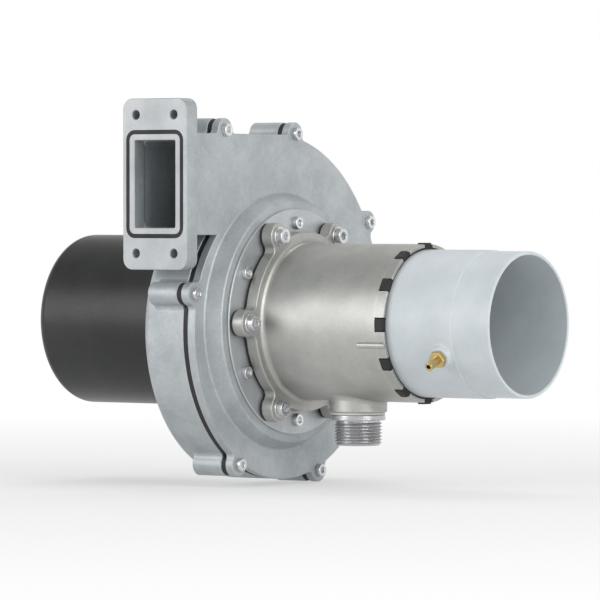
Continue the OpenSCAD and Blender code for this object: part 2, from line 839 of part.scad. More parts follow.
// flat gasket under the mixer
module mixer_gasket() {
    color(gasket_grey) up(plate_front) linear_extrude(mixer_gasket_t)
        lobed(-seal_back, bore_r + seal_back);
}

// the gas inlet's axis, with z outwards from the boss's end
module on_gas_boss() {
    translate([0, -gas_boss_end, gas_at]) rotate([90, 0, 0]) children();
}

// mixer casting: lobed flange, tube with a notched end and a boss for the gas inlet
module mixer_body() {
    color(mixer_grey) difference() {
        union() {
            up(mixer_face) linear_extrude(mixer_flange_t) lobed(0, bore_r);
            up(mixer_face) cylinder(r = tube_r, h = mixer_len);
            rotate_extrude() difference() {
                translate([bore_r, lobe_front - over])
                    square([tube_r + tube_fillet - bore_r, tube_fillet + over]);
                translate([tube_r + tube_fillet, lobe_front + tube_fillet]) circle(tube_fillet);
            }
            on_gas_boss() up(-gas_boss_end) cylinder(r = gas_boss_r, h = gas_boss_end);
            rotate(180 + 180 / notch_count) translate([tube_r, 0, mixer_end - bead_len])
                cylinder(r = bead_r, h = bead_len);
        }
        up(mixer_face - over) cylinder(r = bore_r, h = mixer_len + 2 * over);
        up(seat_z) cylinder(r = seat_r, h = seat_len + over);
        on_gas_boss() up(-gas_boss_end) cylinder(r = gas_r, h = gas_boss_end + over);
        on_gas_boss() up(-shank_d) cylinder(r = shank_r, h = shank_d + over);
        around(notch_count, seat_r - over, 0) translate([0, -notch_w / 2, mixer_end - notch_d])
            cube([seat_wall + bead_r + 2 * over, notch_w, notch_d + over]);
    }
}

// washers under the mixer screws
module mixer_washers() {
    color(zinc) around(ring_count, ring_r, 0) up(lobe_front) ring(washer_r, large_r + screw_gap, washer_t);
}

// screws that hold the mixer and the nozzle on the cover
module mixer_screws() {
    color(zinc) around(ring_count, ring_r, 0) up(lobe_front + washer_t)
        screw(large_r, washer_t + lobe_front - raised_front + raised_t, large_head_r, large_head_h);
}

// air side of the venturi, narrowing to the throat
module venturi_inlet() {
    tip = gas_at + gas_gap / 2;
    color(gasket_grey) rotate_extrude() polygon([
        [bore_r, seat_z],
        [bore_r, seat_z - venturi_seat],
        [bore_r - venturi_t, seat_z - venturi_seat],
        [throat_r + venturi_t, tip + throat_len],
        [throat_r + venturi_t, tip],
        [throat_r, tip],
        [throat_r, tip + throat_len],
        [bore_r - venturi_t, seat_z]]);
}

// mixture side of the venturi, widening towards the impeller
module venturi_diffuser() {
    tip = gas_at - gas_gap / 2;
    color(gasket_grey) rotate_extrude() polygon([
        [bore_r, mixer_face],
        [bore_r, mixer_face + venturi_seat],
        [bore_r - venturi_t, mixer_face + venturi_seat],
        [throat_r + 2 * venturi_t, tip],
        [throat_r + venturi_t, tip],
        [bore_r - 2 * venturi_t, mixer_face]]);
}

// threaded stub for the gas pipe
module gas_stub() {
    color(steel) on_gas_boss() difference() {
        union() {
            up(-shank_d) cylinder(r = shank_r - seat_gap, h = shank_d + stub_washer_t + over);
            up(stub_washer_t) cylinder(r = stub_r + collar_w, h = collar_t);
            up(stub_washer_t) cylinder(r = stub_r, h = collar_t + stub_len);
        }
        up(-shank_d - over)
            cylinder(r = gas_r, h = shank_d + stub_washer_t + collar_t + stub_len + 2 * over);
    }
}

// pale sealing washer under the gas stub's collar
module gas_washer() {
    color(white_plastic) on_gas_boss() ring(stub_r + collar_w, shank_r, stub_washer_t);
}

// rubber ring between mixer and adapter, with a lug in every notch of the tube
module inlet_rubber() {
    lug_len = notch_d - 2 * rubber_gap;
    color(rubber_black) difference() {
        union() {
            up(seat_z + rubber_back) cylinder(r = seat_r, h = seat_len - rubber_back - rubber_gap);
            intersection() {
                up(mixer_end - notch_d) cylinder(r = tube_r + rubber_up, h = notch_d);
                around(notch_count, adapter_r, 0)
                    translate([0, rubber_gap - notch_w / 2, mixer_end - notch_d + rubber_gap])
                        cube([seat_r, notch_w - 2 * rubber_gap, lug_len]);
            }
        }
        up(seat_z) cylinder(r = adapter_r, h = seat_len + over);
    }
}

module on_nipple() {
    rotate(nipple_angle) up(mixer_end + nipple_z) rotate([0, 90, 0]) children();
}

// plastic sleeve that carries the air hose
module air_adapter() {
    color(pale_plastic) difference() {
        union() {
            up(adapter_z) cylinder(r = adapter_r, h = spigot_z - adapter_z);
            up(adapter_z) cylinder(r = spigot_r, h = adapter_end - adapter_z);
            on_nipple() cylinder(r = nipple_boss_r, h = adapter_r + nipple_boss_h);
        }
        up(adapter_z - over) cylinder(r = adapter_bore_r, h = adapter_end - adapter_z + 2 * over);
        on_nipple() cylinder(r = nipple_r, h = adapter_r + nipple_boss_h + over);
    }
}

// brass nipple for the pressure hose
module pressure_nipple() {
    seat = adapter_r + nipple_boss_h;
    stem = seat + nipple_hex_h + nipple_len;
    color(brass) on_nipple() difference() {
        union() {
            up(adapter_r - adapter_wall / 2)
                cylinder(r = nipple_r - thread_gap, h = nipple_boss_h + adapter_wall);
            up(seat) cylinder(r = nipple_boss_r - nipple_margin, h = nipple_hex_h, $fn = 6);
            up(seat) cylinder(r = nipple_r, h = stem - seat);
        }
        cylinder(r = nipple_bore_r, h = stem + over);
    }
}

// flat gasket between motor and scroll
module motor_gasket() {
    color(gasket_grey) up(motor_face) linear_extrude(motor_gasket_t) difference() {
        motor_outline(-seal_back);
        circle(motor_hole_r);
        around(ear_count, ear_ring_r, ear_first) circle(large_r + screw_gap);
    }
}

// motor flange with the front bearing seat and the front cup of the stator
module motor_flange() {
    boss_z = front_bearing_z - bearing_lip;
    color(cast_grey) difference() {
        union() {
            up(motor_back) linear_extrude(motor_flange_t) motor_outline(0);
            up(motor_back) cylinder(r = motor_hole_r - seat_gap, h = nose_z - motor_back);
            up(motor_back - locate_len) ring(cap_in_r - seat_gap, cup_r - over, locate_len + over);
            up(stator_front) ring(cup_r, stator_r - cup_seat, front_room + over);
            up(stator_front - cup_grip) ring(cup_r, stator_r, cup_grip + over);
            up(boss_z) cylinder(r = bearing_seat_r, h = motor_back - boss_z + over);
        }
        up(boss_z - over) cylinder(r = bearing_r, h = over + bearing_lip + bearing_w);
        up(boss_z) cylinder(r = shaft_r + shaft_gap, h = nose_z - boss_z + over);
        up(nose_z - shaft_seal_t) cylinder(r = shaft_seal_r, h = shaft_seal_t + over);
        around(ear_count, ear_ring_r, ear_first) up(motor_back - over)
            cylinder(r = large_r + screw_gap, h = motor_flange_t + 2 * over);
        around(ear_count, tie_r, ear_first) up(stator_front - cup_grip - over)
            cylinder(r = small_r, h = cup_grip + front_room);
    }
}

// screws that hold the motor on the scroll
module motor_screws() {
    grip = motor_flange_t + motor_gasket_t + pad_t + wall - pad_floor - end_gap;
    color(zinc) around(ear_count, ear_ring_r, ear_first) up(motor_back) rotate([180, 0, 0])
        screw(large_r, grip, large_head_r, large_head_h);
}

// seal round the shaft where it enters the scroll
module shaft_seal() {
    color(gasket_grey) up(nose_z - shaft_seal_t) ring(shaft_seal_r, shaft_r + run_gap, shaft_seal_t);
}

module at_bearings() {
    for (z = [front_bearing_z, rear_bearing_z]) up(z) children();
}

module ball_track() {
    up(bearing_w / 2) rotate_extrude() translate([ball_ring_r, 0]) circle(groove_r);
}

// outer rings of the two ball bearings
module bearing_outer_rings() {
    color(steel) at_bearings() difference() {
        ring(bearing_r, race_out_r, bearing_w);
        ball_track();
    }
}

// inner rings of the two ball bearings
module bearing_inner_rings() {
    color(steel) at_bearings() difference() {
        ring(race_in_r, shaft_r, bearing_w);
        ball_track();
    }
}

// balls of the two bearings
module bearing_balls() {
    color(zinc) at_bearings() around(ball_count, ball_ring_r, 0) up(bearing_w / 2) sphere(ball_r);
}

// cages that keep the balls apart
module bearing_cages() {
    color(brass) at_bearings() difference() {
        up(cage_back) ring(race_out_r - run_gap, race_in_r + run_gap, bearing_w / 2 - cage_back);
        around(ball_count, ball_ring_r, 0) up(bearing_w / 2) sphere(ball_r + thread_gap);
    }
}

// spring washer behind the rear bearing
module preload_spring() {
    color(steel) up(shield_front) ring(bearing_r - seat_gap, race_out_r, spring_t);
}

// laminated stator with its teeth
module stator_core() {
    color(iron) up(stator_back) linear_extrude(stator_len) difference() {
        union() {
            disc_with_hole(stator_r, yoke_r);
            around(tooth_count, stator_bore_r + over, 0) translate([0, -tooth_w / 2])
                square([yoke_r - stator_bore_r, tooth_w]);
            intersection() {
                circle(stator_bore_r + head_t);
                around(tooth_count, 0, 0) translate([0, -tooth_w / 2 - head_w])
                    square([stator_r, tooth_w + 2 * head_w]);
            }
        }
        circle(stator_bore_r);
    }
}

// frames round the teeth, between two distances from the tooth
module around_teeth(outer, inner) {
    around(tooth_count, coil_in, 0) up((stator_front + stator_back) / 2) rotate([0, 90, 0])
        linear_extrude(coil_h) difference() {
            rounded(stator_len + 2 * outer, tooth_w + 2 * outer, outer - over / 4);
            square([stator_len + 2 * inner, tooth_w + 2 * inner], center = true);
        }
}

// insulating formers on the teeth
module coil_formers() {
    color(white_plastic) around_teeth(former_t, 0);
}

// copper coils on the formers
module stator_coils() {
    color(copper) around_teeth(former_t + coil_t, former_t);
}

module at_posts() {
    around(post_count, post_ring_r, post_first) children();
}

module on_board() {
    rotate(board_turn) children();
}

// rear bearing shield with the rear cup of the stator and the posts for board and cap
module rear_shield() {
    boss_h = spring_t + bearing_w + bearing_lip;
    color(cast_grey) difference() {
        union() {
            up(shield_back) cylinder(r = cup_r, h = shield_t);
            up(shield_front - over) ring(cup_r, stator_r - cup_seat, back_room + over);
            up(stator_back - over) ring(cup_r, stator_r, cup_grip + over);
            up(shield_front - over) cylinder(r = bearing_seat_r, h = boss_h + over);
            at_posts() up(board_front) cylinder(r = post_r + post_step, h = board_gap + over);
            at_posts() up(post_end) cylinder(r = post_r, h = shield_back - post_end + over);
        }
        up(stator_back) cylinder(r = stator_r, h = cup_grip + over);
        up(shield_front) cylinder(r = bearing_r, h = boss_h + over);
        around(ear_count, tie_r, ear_first) up(shield_back - over)
            cylinder(r = small_r + screw_gap, h = stator_back + cup_grip - shield_back + 2 * over);
        at_posts() up(post_end - over) cylinder(r = fine_r, h = fine_len);
    }
}

// long bolts that clamp the stator between flange and shield
module tie_bolts() {
    grip = stator_front + front_room - end_gap - over - shield_back - cup_grip;
    color(steel) around(ear_count, tie_r, ear_first) up(shield_back) rotate([180, 0, 0])
        screw(small_r, grip, tie_head_r, small_head_h);
}

// round circuit board of the motor electronics
module circuit_board() {
    color(board_green) up(board_back) linear_extrude(board_t) difference() {
        circle(cup_r - board_back_r);
        at_posts() circle(post_r + seat_gap);
    }
}

// smoothing capacitors, lying on the board
module board_capacitors() {
    apart = 2 * capacitor_r + capacitor_gap;
    color(iron) on_board() for (i = [0, 1])
        translate([-capacitor_r, capacitor_r + i * apart, board_back - capacitor_r])
            rotate([0, -90, 0]) cylinder(r = capacitor_r, h = capacitor_len);
}

// filter choke on the board
module board_choke() {
    color(gasket_grey) on_board() translate([2 * choke_r, 2 * choke_r, board_back - choke_h])
        ring(choke_r, choke_hole_r, choke_h);
}

// driver chips on the board
module board_chips() {
    color(cap_black) on_board() for (x = [-1, 1]) translate([x * chip_x, -chip_w, board_back - chip_t / 2])
        cube([chip_l, chip_w, chip_t], center = true);
}

// socket body beside the board's middle line, with its mouth over the edge
module socket_body(x) {
    on_board() translate([x - socket_w / 2, -socket_mouth, board_back - socket_d]) difference() {
        cube([socket_w, socket_h, socket_d]);
        translate([socket_wall, -over, socket_wall])
            cube([socket_w - 2 * socket_wall, hollow_d + over, socket_d - 2 * socket_wall]);
    }
}

// socket for the mains plug
module power_socket() {
    color(white_plastic) socket_body(-socket_x);
}

// socket for the control plug
module signal_socket() {
    color(white_plastic) socket_body(socket_x);
}

module pin_row(x, count, gap) {
    for (i = [0 : count - 1])
        translate([x + (i - (count - 1) / 2) * (pin_t + gap) - pin_t / 2, pin_back - socket_mouth,
            board_back - (socket_d + pin_t) / 2]) cube([pin_t, hollow_d - pin_back, pin_t]);
}

// contact pins in the two sockets
module socket_pins() {
    color(brass) on_board() {
        pin_row(-socket_x, power_count, power_gap);
        pin_row(socket_x, signal_count, signal_gap);
    }
}

// black cap over the motor, with sleeves that press the board on its posts
module motor_cap() {
    color(cap_black) difference() {
        union() {
            difference() {
                rotate_extrude() edge_section(cap_r, cap_end, motor_back, cap_round);
                rotate_extrude() edge_section(cap_in_r, cap_floor, motor_back + over, cap_round - cap_wall);
            }
            at_posts() up(cap_floor - over) cylinder(r = sleeve_r, h = board_room + over);
        }
        at_posts() up(cap_floor) cylinder(r = post_r + seat_gap, h = board_room + over);
        at_posts() up(cap_end - over) cylinder(r = fine_r + screw_gap, h = cap_wall + 2 * over);
        on_board() for (x = [-socket_x, socket_x])
            block([x - socket_w / 2 - seat_gap, -cap_r - over, board_back - socket_d - seat_gap],
                [x + socket_w / 2 + seat_gap, -socket_root, board_back + seat_gap]);
    }
}

// screws that hold the cap on the posts
module cap_screws() {
    color(steel) at_posts() up(cap_end) rotate([180, 0, 0])
        screw(fine_r, fine_len, fine_head_r, fine_head_h);
}

// stepped shaft with the thread for the impeller nut
module shaft() {
    start = rear_bearing_z;
    color(steel) {
        up(start) cylinder(r = shaft_r, h = hub_front - start);
        up(hub_front - over) cylinder(r = thread_r, h = over + nut_h + thread_out);
    }
}

// laminated core of the rotor
module rotor_core() {
    color(iron) up(rotor_back) ring(core_r, shaft_r, rotor_len);
}

// ring magnet of the rotor
module rotor_magnet() {
    color(gasket_grey) up(rotor_back) ring(magnet_r, core_r, rotor_len);
}

module at_rivets() {
    around(rivet_count, rivet_ring_r, 0) children();
}

// turned hub of the impeller
module impeller_hub() {
    color(steel) difference() {
        union() {
            up(hub_back) cylinder(r = hub_r, h = hub_front - hub_back);
            up(blade_z) cylinder(r = hub_flange_r, h = hub_flange_t);
        }
        up(hub_back - over) cylinder(r = shaft_r, h = hub_front - hub_back + 2 * over);
        at_rivets() up(disc_z) cylinder(r = rivet_r, h = disc_t + hub_flange_t + over);
    }
}

// back disc of the impeller
module impeller_disc() {
    color(sheet_grey) difference() {
        up(disc_z) ring(impeller_r, hub_r, disc_t);
        at_rivets() up(disc_z - over) cylinder(r = rivet_r, h = disc_t + 2 * over);
    }
}

// backward-curved sheet blades, cut to the slope of the shroud; the first one's tip points up
module impeller_blades() {
    color(sheet_grey) for (i = [0 : blade_count - 1]) rotate(blade_first + i * blade_step) intersection() {
        up(blade_z) linear_extrude(eye_w) intersection() {
            translate([blade_far, 0]) disc_with_hole(blade_arc + blade_t / 2, blade_arc - blade_t / 2);
            disc_with_hole(impeller_r, blade_in_r);
            translate([-2 * impeller_r, 0]) square([4 * impeller_r, 2 * impeller_r]);
        }
        rotate_extrude() polygon([
            [hub_r, blade_z],
            [impeller_r, blade_z],
            [impeller_r, blade_z + tip_w],
            [eye_r, eye_z],
            [hub_r, eye_z]]);
    }
}

// conical shroud with the collar of the eye
module impeller_shroud() {
    color(sheet_grey) rotate_extrude() polygon([
        [impeller_r, blade_z + tip_w],
        [impeller_r, blade_z + tip_w + shroud_t],
        [eye_r + shroud_t, eye_z + shroud_t],
        [eye_r + shroud_t, eye_top],
        [eye_r, eye_top],
        [eye_r, eye_z]]);
}

// rivets that join hub and back disc
module impeller_rivets() {
    color(steel) at_rivets() {
        up(disc_z) cylinder(r = rivet_r, h = disc_t + hub_flange_t);
        up(disc_z - rivet_head) cylinder(r = rivet_r + rivet_head, h = rivet_head);
        up(blade_z + hub_flange_t) cylinder(r = rivet_r + rivet_head, h = rivet_head);
    }
}

// flanged nut that holds the impeller on the shaft
module impeller_nut() {
    color(zinc) up(hub_front) difference() {
        union() {
            cylinder(r = nut_r + nut_flange, h = nut_flange);
            cylinder(r = nut_r, h = nut_h, $fn = 6);
        }
        up(-over) cylinder(r = thread_r, h = nut_h + 2 * over);
    }
}

place() scroll_body();
place() outlet_seal();
place() scroll_seal();
place() scroll_cover();
place() scroll_screws();
place() inlet_nozzle();
place() nozzle_screws();
place() mixer_gasket();
place() mixer_body();
place() mixer_washers();
place() mixer_screws();
place() venturi_inlet();
place() venturi_diffuser();
place() gas_stub();
place() gas_washer();
place() inlet_rubber();
place() air_adapter();
place() pressure_nipple();
place() motor_gasket();
place() motor_flange();
place() motor_screws();
place() shaft_seal();
place() bearing_outer_rings();
place() bearing_inner_rings();
place() bearing_balls();
place() bearing_cages();
place() preload_spring();
place() stator_core();
place() coil_formers();
place() stator_coils();
place() rear_shield();
place() tie_bolts();
place() circuit_board();
place() board_capacitors();
place() board_choke();
place() board_chips();
place() power_socket();
place() signal_socket();
place() socket_pins();
place() motor_cap();
place() cap_screws();
place() shaft();
place() rotor_core();
place() rotor_magnet();
place() impeller_hub();
place() impeller_disc();
place() impeller_blades();
place() impeller_shroud();
place() impeller_rivets();
place() impeller_nut();
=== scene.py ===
import math

import bmesh
import bpy
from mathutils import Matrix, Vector


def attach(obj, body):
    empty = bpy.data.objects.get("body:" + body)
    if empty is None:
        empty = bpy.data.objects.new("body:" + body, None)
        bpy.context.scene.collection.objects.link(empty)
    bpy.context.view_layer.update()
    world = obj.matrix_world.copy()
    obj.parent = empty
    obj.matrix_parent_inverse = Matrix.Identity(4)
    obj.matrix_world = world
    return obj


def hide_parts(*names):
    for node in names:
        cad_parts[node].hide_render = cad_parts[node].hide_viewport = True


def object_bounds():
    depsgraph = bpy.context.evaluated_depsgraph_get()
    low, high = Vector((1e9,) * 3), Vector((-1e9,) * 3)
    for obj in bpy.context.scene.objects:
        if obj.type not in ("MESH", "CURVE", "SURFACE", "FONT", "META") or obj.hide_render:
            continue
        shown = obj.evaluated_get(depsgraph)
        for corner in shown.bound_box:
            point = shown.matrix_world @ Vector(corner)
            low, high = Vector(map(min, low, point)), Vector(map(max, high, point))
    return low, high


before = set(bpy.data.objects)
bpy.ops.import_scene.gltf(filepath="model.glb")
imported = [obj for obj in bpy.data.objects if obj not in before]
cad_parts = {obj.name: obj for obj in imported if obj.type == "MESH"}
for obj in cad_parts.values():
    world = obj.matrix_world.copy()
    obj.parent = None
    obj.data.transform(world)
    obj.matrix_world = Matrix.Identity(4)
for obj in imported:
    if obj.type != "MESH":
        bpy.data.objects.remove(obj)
cad_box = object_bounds()

# Scroll body: the motor-side half of the spiral housing, die cast in aluminium with its outlet duct, bolt
# flange, screw lugs and motor pad in one piece. The die leaves rounded edges and a fine, mottled skin.
# Its sizes, like all below, are millimetres on the fan's own axes: z along the shaft to the inlet, y up.
scroll_r = 80.5
spiral_step = 8.0
scroll_w = 28.0
wall = 4.0
seal_t = 3.0
cover_low = scroll_w / 2
joint = cover_low - seal_t
back_in = -scroll_w / 2
back_out = back_in - wall
back_round = 6.0
inner_round = 3.0
outlet_h = 48.0
outlet_top = scroll_r + 2.5 * spiral_step
outlet_low = outlet_top - outlet_h
outlet_mid = outlet_top - outlet_h / 2
outlet_reach = scroll_r + wall + 7.0
flange_t = 10.0
flange_back = outlet_reach - flange_t
sunk = 0.5


def to_row(point):
    """A point of the fan in mm in the part's frame in metres."""
    x, y, z = point
    return Vector((z, x + outlet_reach, y - outlet_mid)) / 1000


def polar(r, angle, cx=0.0, cy=0.0):
    """The point at a radius and an angle in degrees from a centre."""
    turn = math.radians(angle)
    return cx + r * math.cos(turn), cy + r * math.sin(turn)


def arc(cx, cy, r, start, end, count):
    """Points along an arc, with both of its ends."""
    return [polar(r, start + (end - start) * i / count, cx, cy) for i in range(count + 1)]


def circle(r, count, cx=0.0, cy=0.0):
    """Points round a circle, the first only once."""
    return arc(cx, cy, r, 0, 360, count)[:-1]


def spiral_quarter(angle):
    """Centre and radius of the spiral's quarter at an angle counted from the tongue."""
    quarter = min(3, int((angle - 90) // 90))
    half = spiral_step / 2
    cx = half if quarter in (1, 2) else -half
    cy = half if quarter > 1 else -half
    return cx, cy, scroll_r + (quarter - 1) * spiral_step


def scroll_path(grow, end):
    """The spiral with its outlet, grown outwards, from the outlet's lower side round to its top."""
    half = spiral_step / 2
    first = scroll_r - spiral_step + grow
    low = outlet_low - grow
    top = outlet_top + grow
    low_parts = 6
    top_parts = 12
    meet = 180 - math.degrees(math.asin((low + half) / first))
    tongue = polar(first, meet, -half)[0]
    path = [(-end + (tongue + end) * i / low_parts, low) for i in range(low_parts)]
    path += arc(-half, -half, first, meet, 180, count=14)
    path += arc(half, -half, first + spiral_step, 180, 270, count=40)[1:]
    path += arc(half, half, first + 2 * spiral_step, 270, 360, count=40)[1:]
    path += arc(-half, half, first + 3 * spiral_step, 360, 450, count=40)[1:]
    return path + [(-half - (end - half) * i / top_parts, top) for i in range(1, top_parts + 1)]


def skin(blank, rows, ends=()):
    """Faces between rows of points of equal length; the last row joins the first, and ends are closed."""
    grid = [[blank.verts.new(to_row(point)) for point in row] for row in rows]
    for a, b in zip(grid, grid[1:] + grid[:1]):
        for i in range(len(a) - 1):
            blank.faces.new((a[i], a[i + 1], b[i + 1], b[i]))
    for end in ends:
        blank.faces.new([row[end] for row in grid])


def plate(blank, loops, low, high, edge, place=lambda a, b, c: (a, b, c)):
    """A flat piece with rounded edges, from an outline, its holes and the heights of its two faces."""
    curve = bpy.data.curves.new("outline", "CURVE")
    curve.dimensions = "2D"
    curve.fill_mode = "BOTH"
    curve.extrude = (high - low) / 2 - edge
    curve.bevel_depth = edge
    curve.bevel_resolution = 2
    curve.offset = -edge
    for loop in loops:
        spline = curve.splines.new("POLY")
        spline.points.add(len(loop) - 1)
        for point, (a, b) in zip(spline.points, loop):
            point.co = (a, b, 0, 1)
        spline.use_cyclic_u = True
    holder = bpy.data.objects.new("outline", curve)
    mesh = bpy.data.meshes.new_from_object(holder)
    for vertex in mesh.vertices:
        a, b, c = vertex.co
        vertex.co = to_row(place(a, b, c + (low + high) / 2))
    blank.from_mesh(mesh)
    bpy.data.objects.remove(holder)
    bpy.data.curves.remove(curve)
    bpy.data.meshes.remove(mesh)


def boss(base, out, r, fillet, angle, cx=0.0, cy=0.0):
    """Outline of a round boss that runs into a wall of radius base with a fillet on either side."""
    reach = base + out
    rise = base + fillet
    swing = math.acos((rise ** 2 + reach ** 2 - (r + fillet) ** 2) / (2 * rise * reach))
    fillet_u = rise * math.cos(swing)
    fillet_v = rise * math.sin(swing)
    root = math.degrees(math.atan2(-fillet_v, -fillet_u))
    neck = math.degrees(math.atan2(-fillet_v, reach - fillet_u))
    tip = math.degrees(math.atan2(fillet_v, fillet_u - reach))
    side = arc(fillet_u, fillet_v, fillet, root, neck, count=6) + arc(reach, 0, r, tip, 0, count=14)
    whole = [(u, -v) for u, v in side[:-1]] + side[::-1]
    c, s = polar(1, angle)
    return [(cx + c * u - s * v, cy + s * u + c * v) for u, v in whole]


def with_bosses(path, bosses):
    """An outline in which each boss takes the place of the points between its two roots."""
    margin = 0.3
    for outline in bosses:
        first = Vector(outline[0])
        last = Vector(outline[-1])
        middle = (first + last) / 2
        reach = (first - last).length / 2 + margin
        covered = [i for i, point in enumerate(path) if (Vector(point) - middle).length < reach]
        path = path[:covered[0]] + outline + path[covered[-1] + 1:]
    return path


lug_r = 6.5
lug_out = 2.0
lug_fillet = 3.0
lug_len = 20.0
lug_angles = [165] + [240 + 50 * i for i in range(5)]
outlet_lug_x = -52.0
flat_wall_r = 4000.0


def rim_lugs():
    """Outlines of the lugs round the rim; the last stands on the straight top of the outlet."""
    lugs = []
    for angle in lug_angles:
        cx, cy, r = spiral_quarter(angle)
        lugs.append(boss(r + wall, lug_out, lug_r, lug_fillet, angle, cx, cy))
    cy = outlet_top + wall - flat_wall_r
    return lugs + [boss(flat_wall_r, lug_out, lug_r, lug_fillet, 90, outlet_lug_x, cy)]


def rounded_rect(w, h, r):
    """Outline of a rectangle with rounded corners, round its own middle."""
    x = w / 2 - r
    y = h / 2 - r
    corners = [(x, y, 0), (-x, y, 90), (-x, -y, 180), (x, -y, 270)]
    return [point for cx, cy, turn in corners for point in arc(cx, cy, r, turn, turn + 90, count=6)]


def on_outlet(a, b, c):
    """From the outlet's face (height, shaft direction, depth) to the fan."""
    return c - outlet_reach, a + outlet_mid, b


motor_r = 50.0
ear_out = 7.0
ear_r = 7.0
ear_fillet = 4.0
ear_angles = (45, 135, 225, 315)


def motor_outline(grow):
    """Outline of the motor's flange, or of the pad that it sits on: a round middle with four ears."""
    ears = [boss(motor_r + grow, ear_out - grow, ear_r + grow, ear_fillet, angle) for angle in ear_angles]
    return with_bosses(circle(motor_r + grow, count=144), ears)


weld = 2e-6
crease = math.radians(32)


def piece(name, blank, body, slot, finish, *nodes):
    """One piece from its mesh, on its body, in place of the nodes that it stands for."""
    bmesh.ops.remove_doubles(blank, verts=blank.verts, dist=weld)
    bmesh.ops.recalc_face_normals(blank, faces=blank.faces)
    mesh = bpy.data.meshes.new(name)
    blank.to_mesh(mesh)
    blank.free()
    mesh.shade_smooth()
    mesh.set_sharp_from_angle(angle=crease)
    made = bpy.data.objects.new(name, mesh)
    bpy.context.scene.collection.objects.link(made)
    made.modifiers.new("even_normals", "WEIGHTED_NORMAL").keep_sharp = True
    mesh.materials.append(finish)
    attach(made, body)
    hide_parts(*nodes)
    return made


def faced(made, finish, test):
    """Gives the faces of a piece that pass a test a finish of their own."""
    made.data.materials.append(finish)
    for face in made.data.polygons:
        if test(face.center, face.normal):
            face.material_index = 1


def node(tree, kind, inputs=(), **settings):
    """A shader node with its settings; inputs are values or sockets."""
    made = tree.nodes.new("ShaderNode" + kind)
    for key, value in settings.items():
        setattr(made, key, value)
    for key, value in dict(inputs).items():
        if isinstance(value, bpy.types.NodeSocket):
            tree.links.new(value, made.inputs[key])
        else:
            made.inputs[key].default_value = value
    return made


def reckon(tree, operation, *values):
    """What a sum gives on values or sockets."""
    return node(tree, "Math", dict(enumerate(values)), operation=operation).outputs[0]


def noise(tree, spot, scale, **inputs):
    """A cloudy value over the surface."""
    return node(tree, "TexNoise", {"Vector": spot, "Scale": scale, **inputs}).outputs["Fac"]


def spread(tree, value, low, high, first=0.0, last=1.0, **settings):
    """A value's range from low to high, spread from first to last."""
    ends = {"Value": value, "From Min": low, "From Max": high, "To Min": first, "To Max": last}
    return node(tree, "MapRange", ends, **settings).outputs["Result"]


def effect(name, inputs, outputs):
    """An empty node group with its number inputs and value outputs."""
    tree = bpy.data.node_groups.new(name, "ShaderNodeTree")
    for key, value in inputs.items():
        tree.interface.new_socket(key, in_out="INPUT", socket_type="NodeSocketFloat").default_value = value
    for key in outputs:
        tree.interface.new_socket(key, in_out="OUTPUT", socket_type="NodeSocketFloat")
    return tree, tree.nodes.new("NodeGroupInput").outputs, tree.nodes.new("NodeGroupOutput").inputs


def make_skin_grain():
    """Grain of a moulded or cast skin with scattered pores, slow changes of tone, and smudges."""
    controls = {"Fineness": 900.0, "Pores": 0.0}
    tree, given, result = effect("skin_grain", controls, ["Height", "Tone", "Smudge"])
    spot = node(tree, "TexCoord").outputs["Object"]
    fine = noise(tree, spot, given["Fineness"], Detail=4.0, Roughness=0.6)
    pores = node(tree, "TexVoronoi", {"Vector": spot, "Scale": 420.0}).outputs["Distance"]
    pits = spread(tree, pores, 0.05, 0.22, first=1.0, last=0.0)
    pitted_spots = spread(tree, noise(tree, spot, scale=70.0, Detail=2.0), 0.55, 0.65)
    pitted = reckon(tree, "MULTIPLY", pits, pitted_spots)
    pit_depth = reckon(tree, "MULTIPLY", pitted, given["Pores"])
    tree.links.new(reckon(tree, "SUBTRACT", fine, pit_depth), result["Height"])
    slow = noise(tree, spot, scale=38.0, Detail=5.0, Roughness=0.62)
    slow_share = 0.72
    tone = reckon(tree, "MULTIPLY", slow, slow_share)
    tree.links.new(reckon(tree, "MULTIPLY_ADD", fine, 1 - slow_share, tone), result["Tone"])
    tree.links.new(noise(tree, spot, scale=22.0, Detail=3.0, Distortion=1.2), result["Smudge"])
    return tree


def make_rubbed_edge():
    """Where edges are rubbed bright in handling, in patches."""
    tree, given, result = effect("rubbed_edge", {"Width": 0.0006}, ["Mask"])
    softened = node(tree, "Bevel", {"Radius": given["Width"]}, samples=4).outputs[0]
    face = node(tree, "NewGeometry").outputs["Normal"]
    bent = node(tree, "VectorMath", {0: softened, 1: face}, operation="DOT_PRODUCT").outputs["Value"]
    sharp = spread(tree, bent, 0.995, 0.86)
    spot = node(tree, "TexCoord").outputs["Object"]
    patchy = spread(tree, noise(tree, spot, scale=160.0, Detail=3.0), 0.35, 0.65, first=0.15)
    tree.links.new(reckon(tree, "MULTIPLY", sharp, patchy), result["Mask"])
    return tree


def make_tool_lines():
    """Fine lines left by turning, rolling or drawing, closer together where the pull is larger."""
    controls = {"Along " + axis: 1.0 for axis in "XYZ"}
    tree, given, result = effect("tool_lines", controls, ["Height"])
    spot = node(tree, "TexCoord").outputs["Object"]
    pull = node(tree, "CombineXYZ", {axis: given["Along " + axis] for axis in "XYZ"}).outputs[0]
    drawn = node(tree, "VectorMath", {0: spot, 1: pull}, operation="MULTIPLY").outputs[0]
    tree.links.new(noise(tree, drawn, scale=1.0, Detail=3.0, Roughness=0.7), result["Height"])
    return tree


skin_grain = make_skin_grain()
rubbed_edge = make_rubbed_edge()
tool_lines = make_tool_lines()


